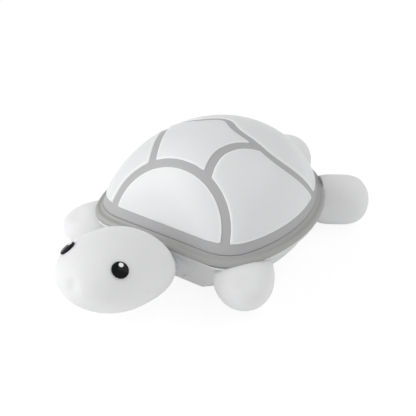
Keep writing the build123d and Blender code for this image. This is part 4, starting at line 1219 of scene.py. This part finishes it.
class TURTLE_OT_stage(bpy.types.Operator):
    """Set up the floor, the lights and the camera"""

    bl_idname = "turtle.stage"
    bl_label = "Stage"

    def execute(self, context):
        self.lay_floor(context)
        self.hang_lights(context)
        self.set_camera(context)
        context.scene.view_settings.view_transform = "Standard"
        return {"FINISHED"}

    def lay_floor(self, context):
        """A wide pale floor that shows white, keeps a soft shadow and is clear from below."""
        settings = context.scene.turtle_stage
        bpy.ops.object.select_all(action="DESELECT")
        bpy.ops.mesh.primitive_plane_add(size=settings.floor_size)
        floor = bpy.context.object
        floor.name = "floor"
        material = bpy.data.materials.new("floor_white")
        material.use_nodes = True
        nodes, links = material.node_tree.nodes, material.node_tree.links
        lit = nodes["Principled BSDF"]
        lit.inputs["Base Color"].default_value = (*[settings.floor_tone] * 3, 1)
        lit.inputs["Roughness"].default_value = settings.floor_roughness
        lit.inputs["Emission Color"].default_value = (1, 1, 1, 1)
        lit.inputs["Emission Strength"].default_value = settings.floor_bounce
        glow = nodes.new("ShaderNodeEmission")
        glow.inputs["Strength"].default_value = settings.floor_glow
        rays = nodes.new("ShaderNodeLightPath")
        share_of_glow = nodes.new("ShaderNodeMath")
        share_of_glow.operation = "MULTIPLY"
        share_of_glow.inputs[1].default_value = settings.floor_glow_share
        blend = nodes.new("ShaderNodeMixShader")
        links.new(rays.outputs["Is Camera Ray"], share_of_glow.inputs[0])
        links.new(share_of_glow.outputs["Value"], blend.inputs["Fac"])
        links.new(lit.outputs["BSDF"], blend.inputs[1])
        links.new(glow.outputs["Emission"], blend.inputs[2])
        below = nodes.new("ShaderNodeNewGeometry")
        clear = nodes.new("ShaderNodeBsdfTransparent")
        one_sided = nodes.new("ShaderNodeMixShader")
        links.new(below.outputs["Backfacing"], one_sided.inputs["Fac"])
        links.new(blend.outputs["Shader"], one_sided.inputs[1])
        links.new(clear.outputs["BSDF"], one_sided.inputs[2])
        links.new(one_sided.outputs["Shader"], nodes["Material Output"].inputs["Surface"])
        floor.data.materials.append(material)

    def hang_lights(self, context):
        """A key light, a fill, a top light, a low front light and an even sky."""
        settings = context.scene.turtle_stage
        lamps = (
            ("key", settings.key_power, settings.key_size, settings.key_spot),
            ("fill", settings.fill_power, settings.fill_size, settings.fill_spot),
            ("top", settings.top_power, settings.top_size, settings.top_spot),
            ("front", settings.front_power, settings.front_size, settings.front_spot),
        )
        for name, power, size, spot in lamps:
            bpy.ops.object.light_add(type="AREA", location=spot)
            lamp = bpy.context.object
            lamp.name = name
            lamp.data.energy = power
            lamp.data.size = size
            lamp.rotation_mode = "QUATERNION"
            aim = Vector(settings.light_target) - Vector(spot)
            lamp.rotation_quaternion = aim.to_track_quat("-Z", "Y")
        world = bpy.data.worlds.new("studio")
        context.scene.world = world
        world.use_nodes = True
        nodes, links = world.node_tree.nodes, world.node_tree.links
        sky = nodes["Background"]
        sky.inputs["Color"].default_value = (1, 1, 1, 1)
        sky.inputs["Strength"].default_value = settings.sky
        white = nodes.new("ShaderNodeBackground")
        white.inputs["Color"].default_value = (1, 1, 1, 1)
        rays = nodes.new("ShaderNodeLightPath")
        blend = nodes.new("ShaderNodeMixShader")
        links.new(rays.outputs["Is Camera Ray"], blend.inputs["Fac"])
        links.new(sky.outputs["Background"], blend.inputs[1])
        links.new(white.outputs["Background"], blend.inputs[2])
        links.new(blend.outputs["Shader"], nodes["World Output"].inputs["Surface"])

    def set_camera(self, context):
        """A camera at the photographed angle."""
        settings = context.scene.turtle_stage
        around, above = settings.azimuth, settings.elevation
        back = Vector((sin(around) * cos(above), -cos(around) * cos(above), sin(above)))
        right = Vector((cos(around), sin(around), 0))
        up = back.cross(right)
        aim = -back + right * settings.aim_right + up * settings.aim_up
        bpy.ops.object.camera_add(location=Vector(settings.pivot) + back * settings.distance)
        camera = bpy.context.object
        camera.name = "camera"
        camera.data.lens = settings.lens
        camera.data.sensor_width = settings.sensor
        camera.data.clip_start = settings.clip_start
        camera.rotation_mode = "QUATERNION"
        camera.rotation_quaternion = aim.to_track_quat("-Z", "Y")
        context.scene.camera = camera


class TURTLE_PT_panel(bpy.types.Panel):
    """Lists the steps of the model"""

    bl_idname = "TURTLE_PT_panel"
    bl_label = "Turtle night light"
    bl_space_type = "VIEW_3D"
    bl_region_type = "UI"
    bl_category = "Turtle light"

    def draw(self, context):
        for operator in OPERATORS:
            self.layout.operator(operator.bl_idname)


OPERATORS = (
    TURTLE_OT_nodes,
    TURTLE_OT_scutes,
    TURTLE_OT_bands,
    TURTLE_OT_rim,
    TURTLE_OT_head,
    TURTLE_OT_eyes,
    TURTLE_OT_flippers,
    TURTLE_OT_tail,
    TURTLE_OT_stage,
)
SETTINGS = {
    "turtle_shell": ShellSizes,
    "turtle_bands": BandSizes,
    "turtle_rim": RimSizes,
    "turtle_head": HeadSizes,
    "turtle_limbs": LimbSizes,
    "turtle_colours": FinishColours,
    "turtle_stage": StageSettings,
}


def register():
    """Registers the settings, the operators and the panel."""
    for name, settings in SETTINGS.items():
        bpy.utils.register_class(settings)
        setattr(bpy.types.Scene, name, bpy.props.PointerProperty(type=settings))
    for operator in OPERATORS:
        bpy.utils.register_class(operator)
    bpy.utils.register_class(TURTLE_PT_panel)


def unregister():
    """Takes them away again."""
    bpy.utils.unregister_class(TURTLE_PT_panel)
    for operator in reversed(OPERATORS):
        bpy.utils.unregister_class(operator)
    for name, settings in reversed(SETTINGS.items()):
        delattr(bpy.types.Scene, name)
        bpy.utils.unregister_class(settings)


def main():
    """Makes the whole model."""
    register()
    bpy.ops.turtle.nodes()
    bpy.ops.turtle.scutes()
    bpy.ops.turtle.bands()
    bpy.ops.turtle.rim()
    bpy.ops.turtle.head()
    bpy.ops.turtle.eyes()
    bpy.ops.turtle.flippers()
    bpy.ops.turtle.tail()
    bpy.ops.turtle.stage()


if __name__ == "__main__":
    main()
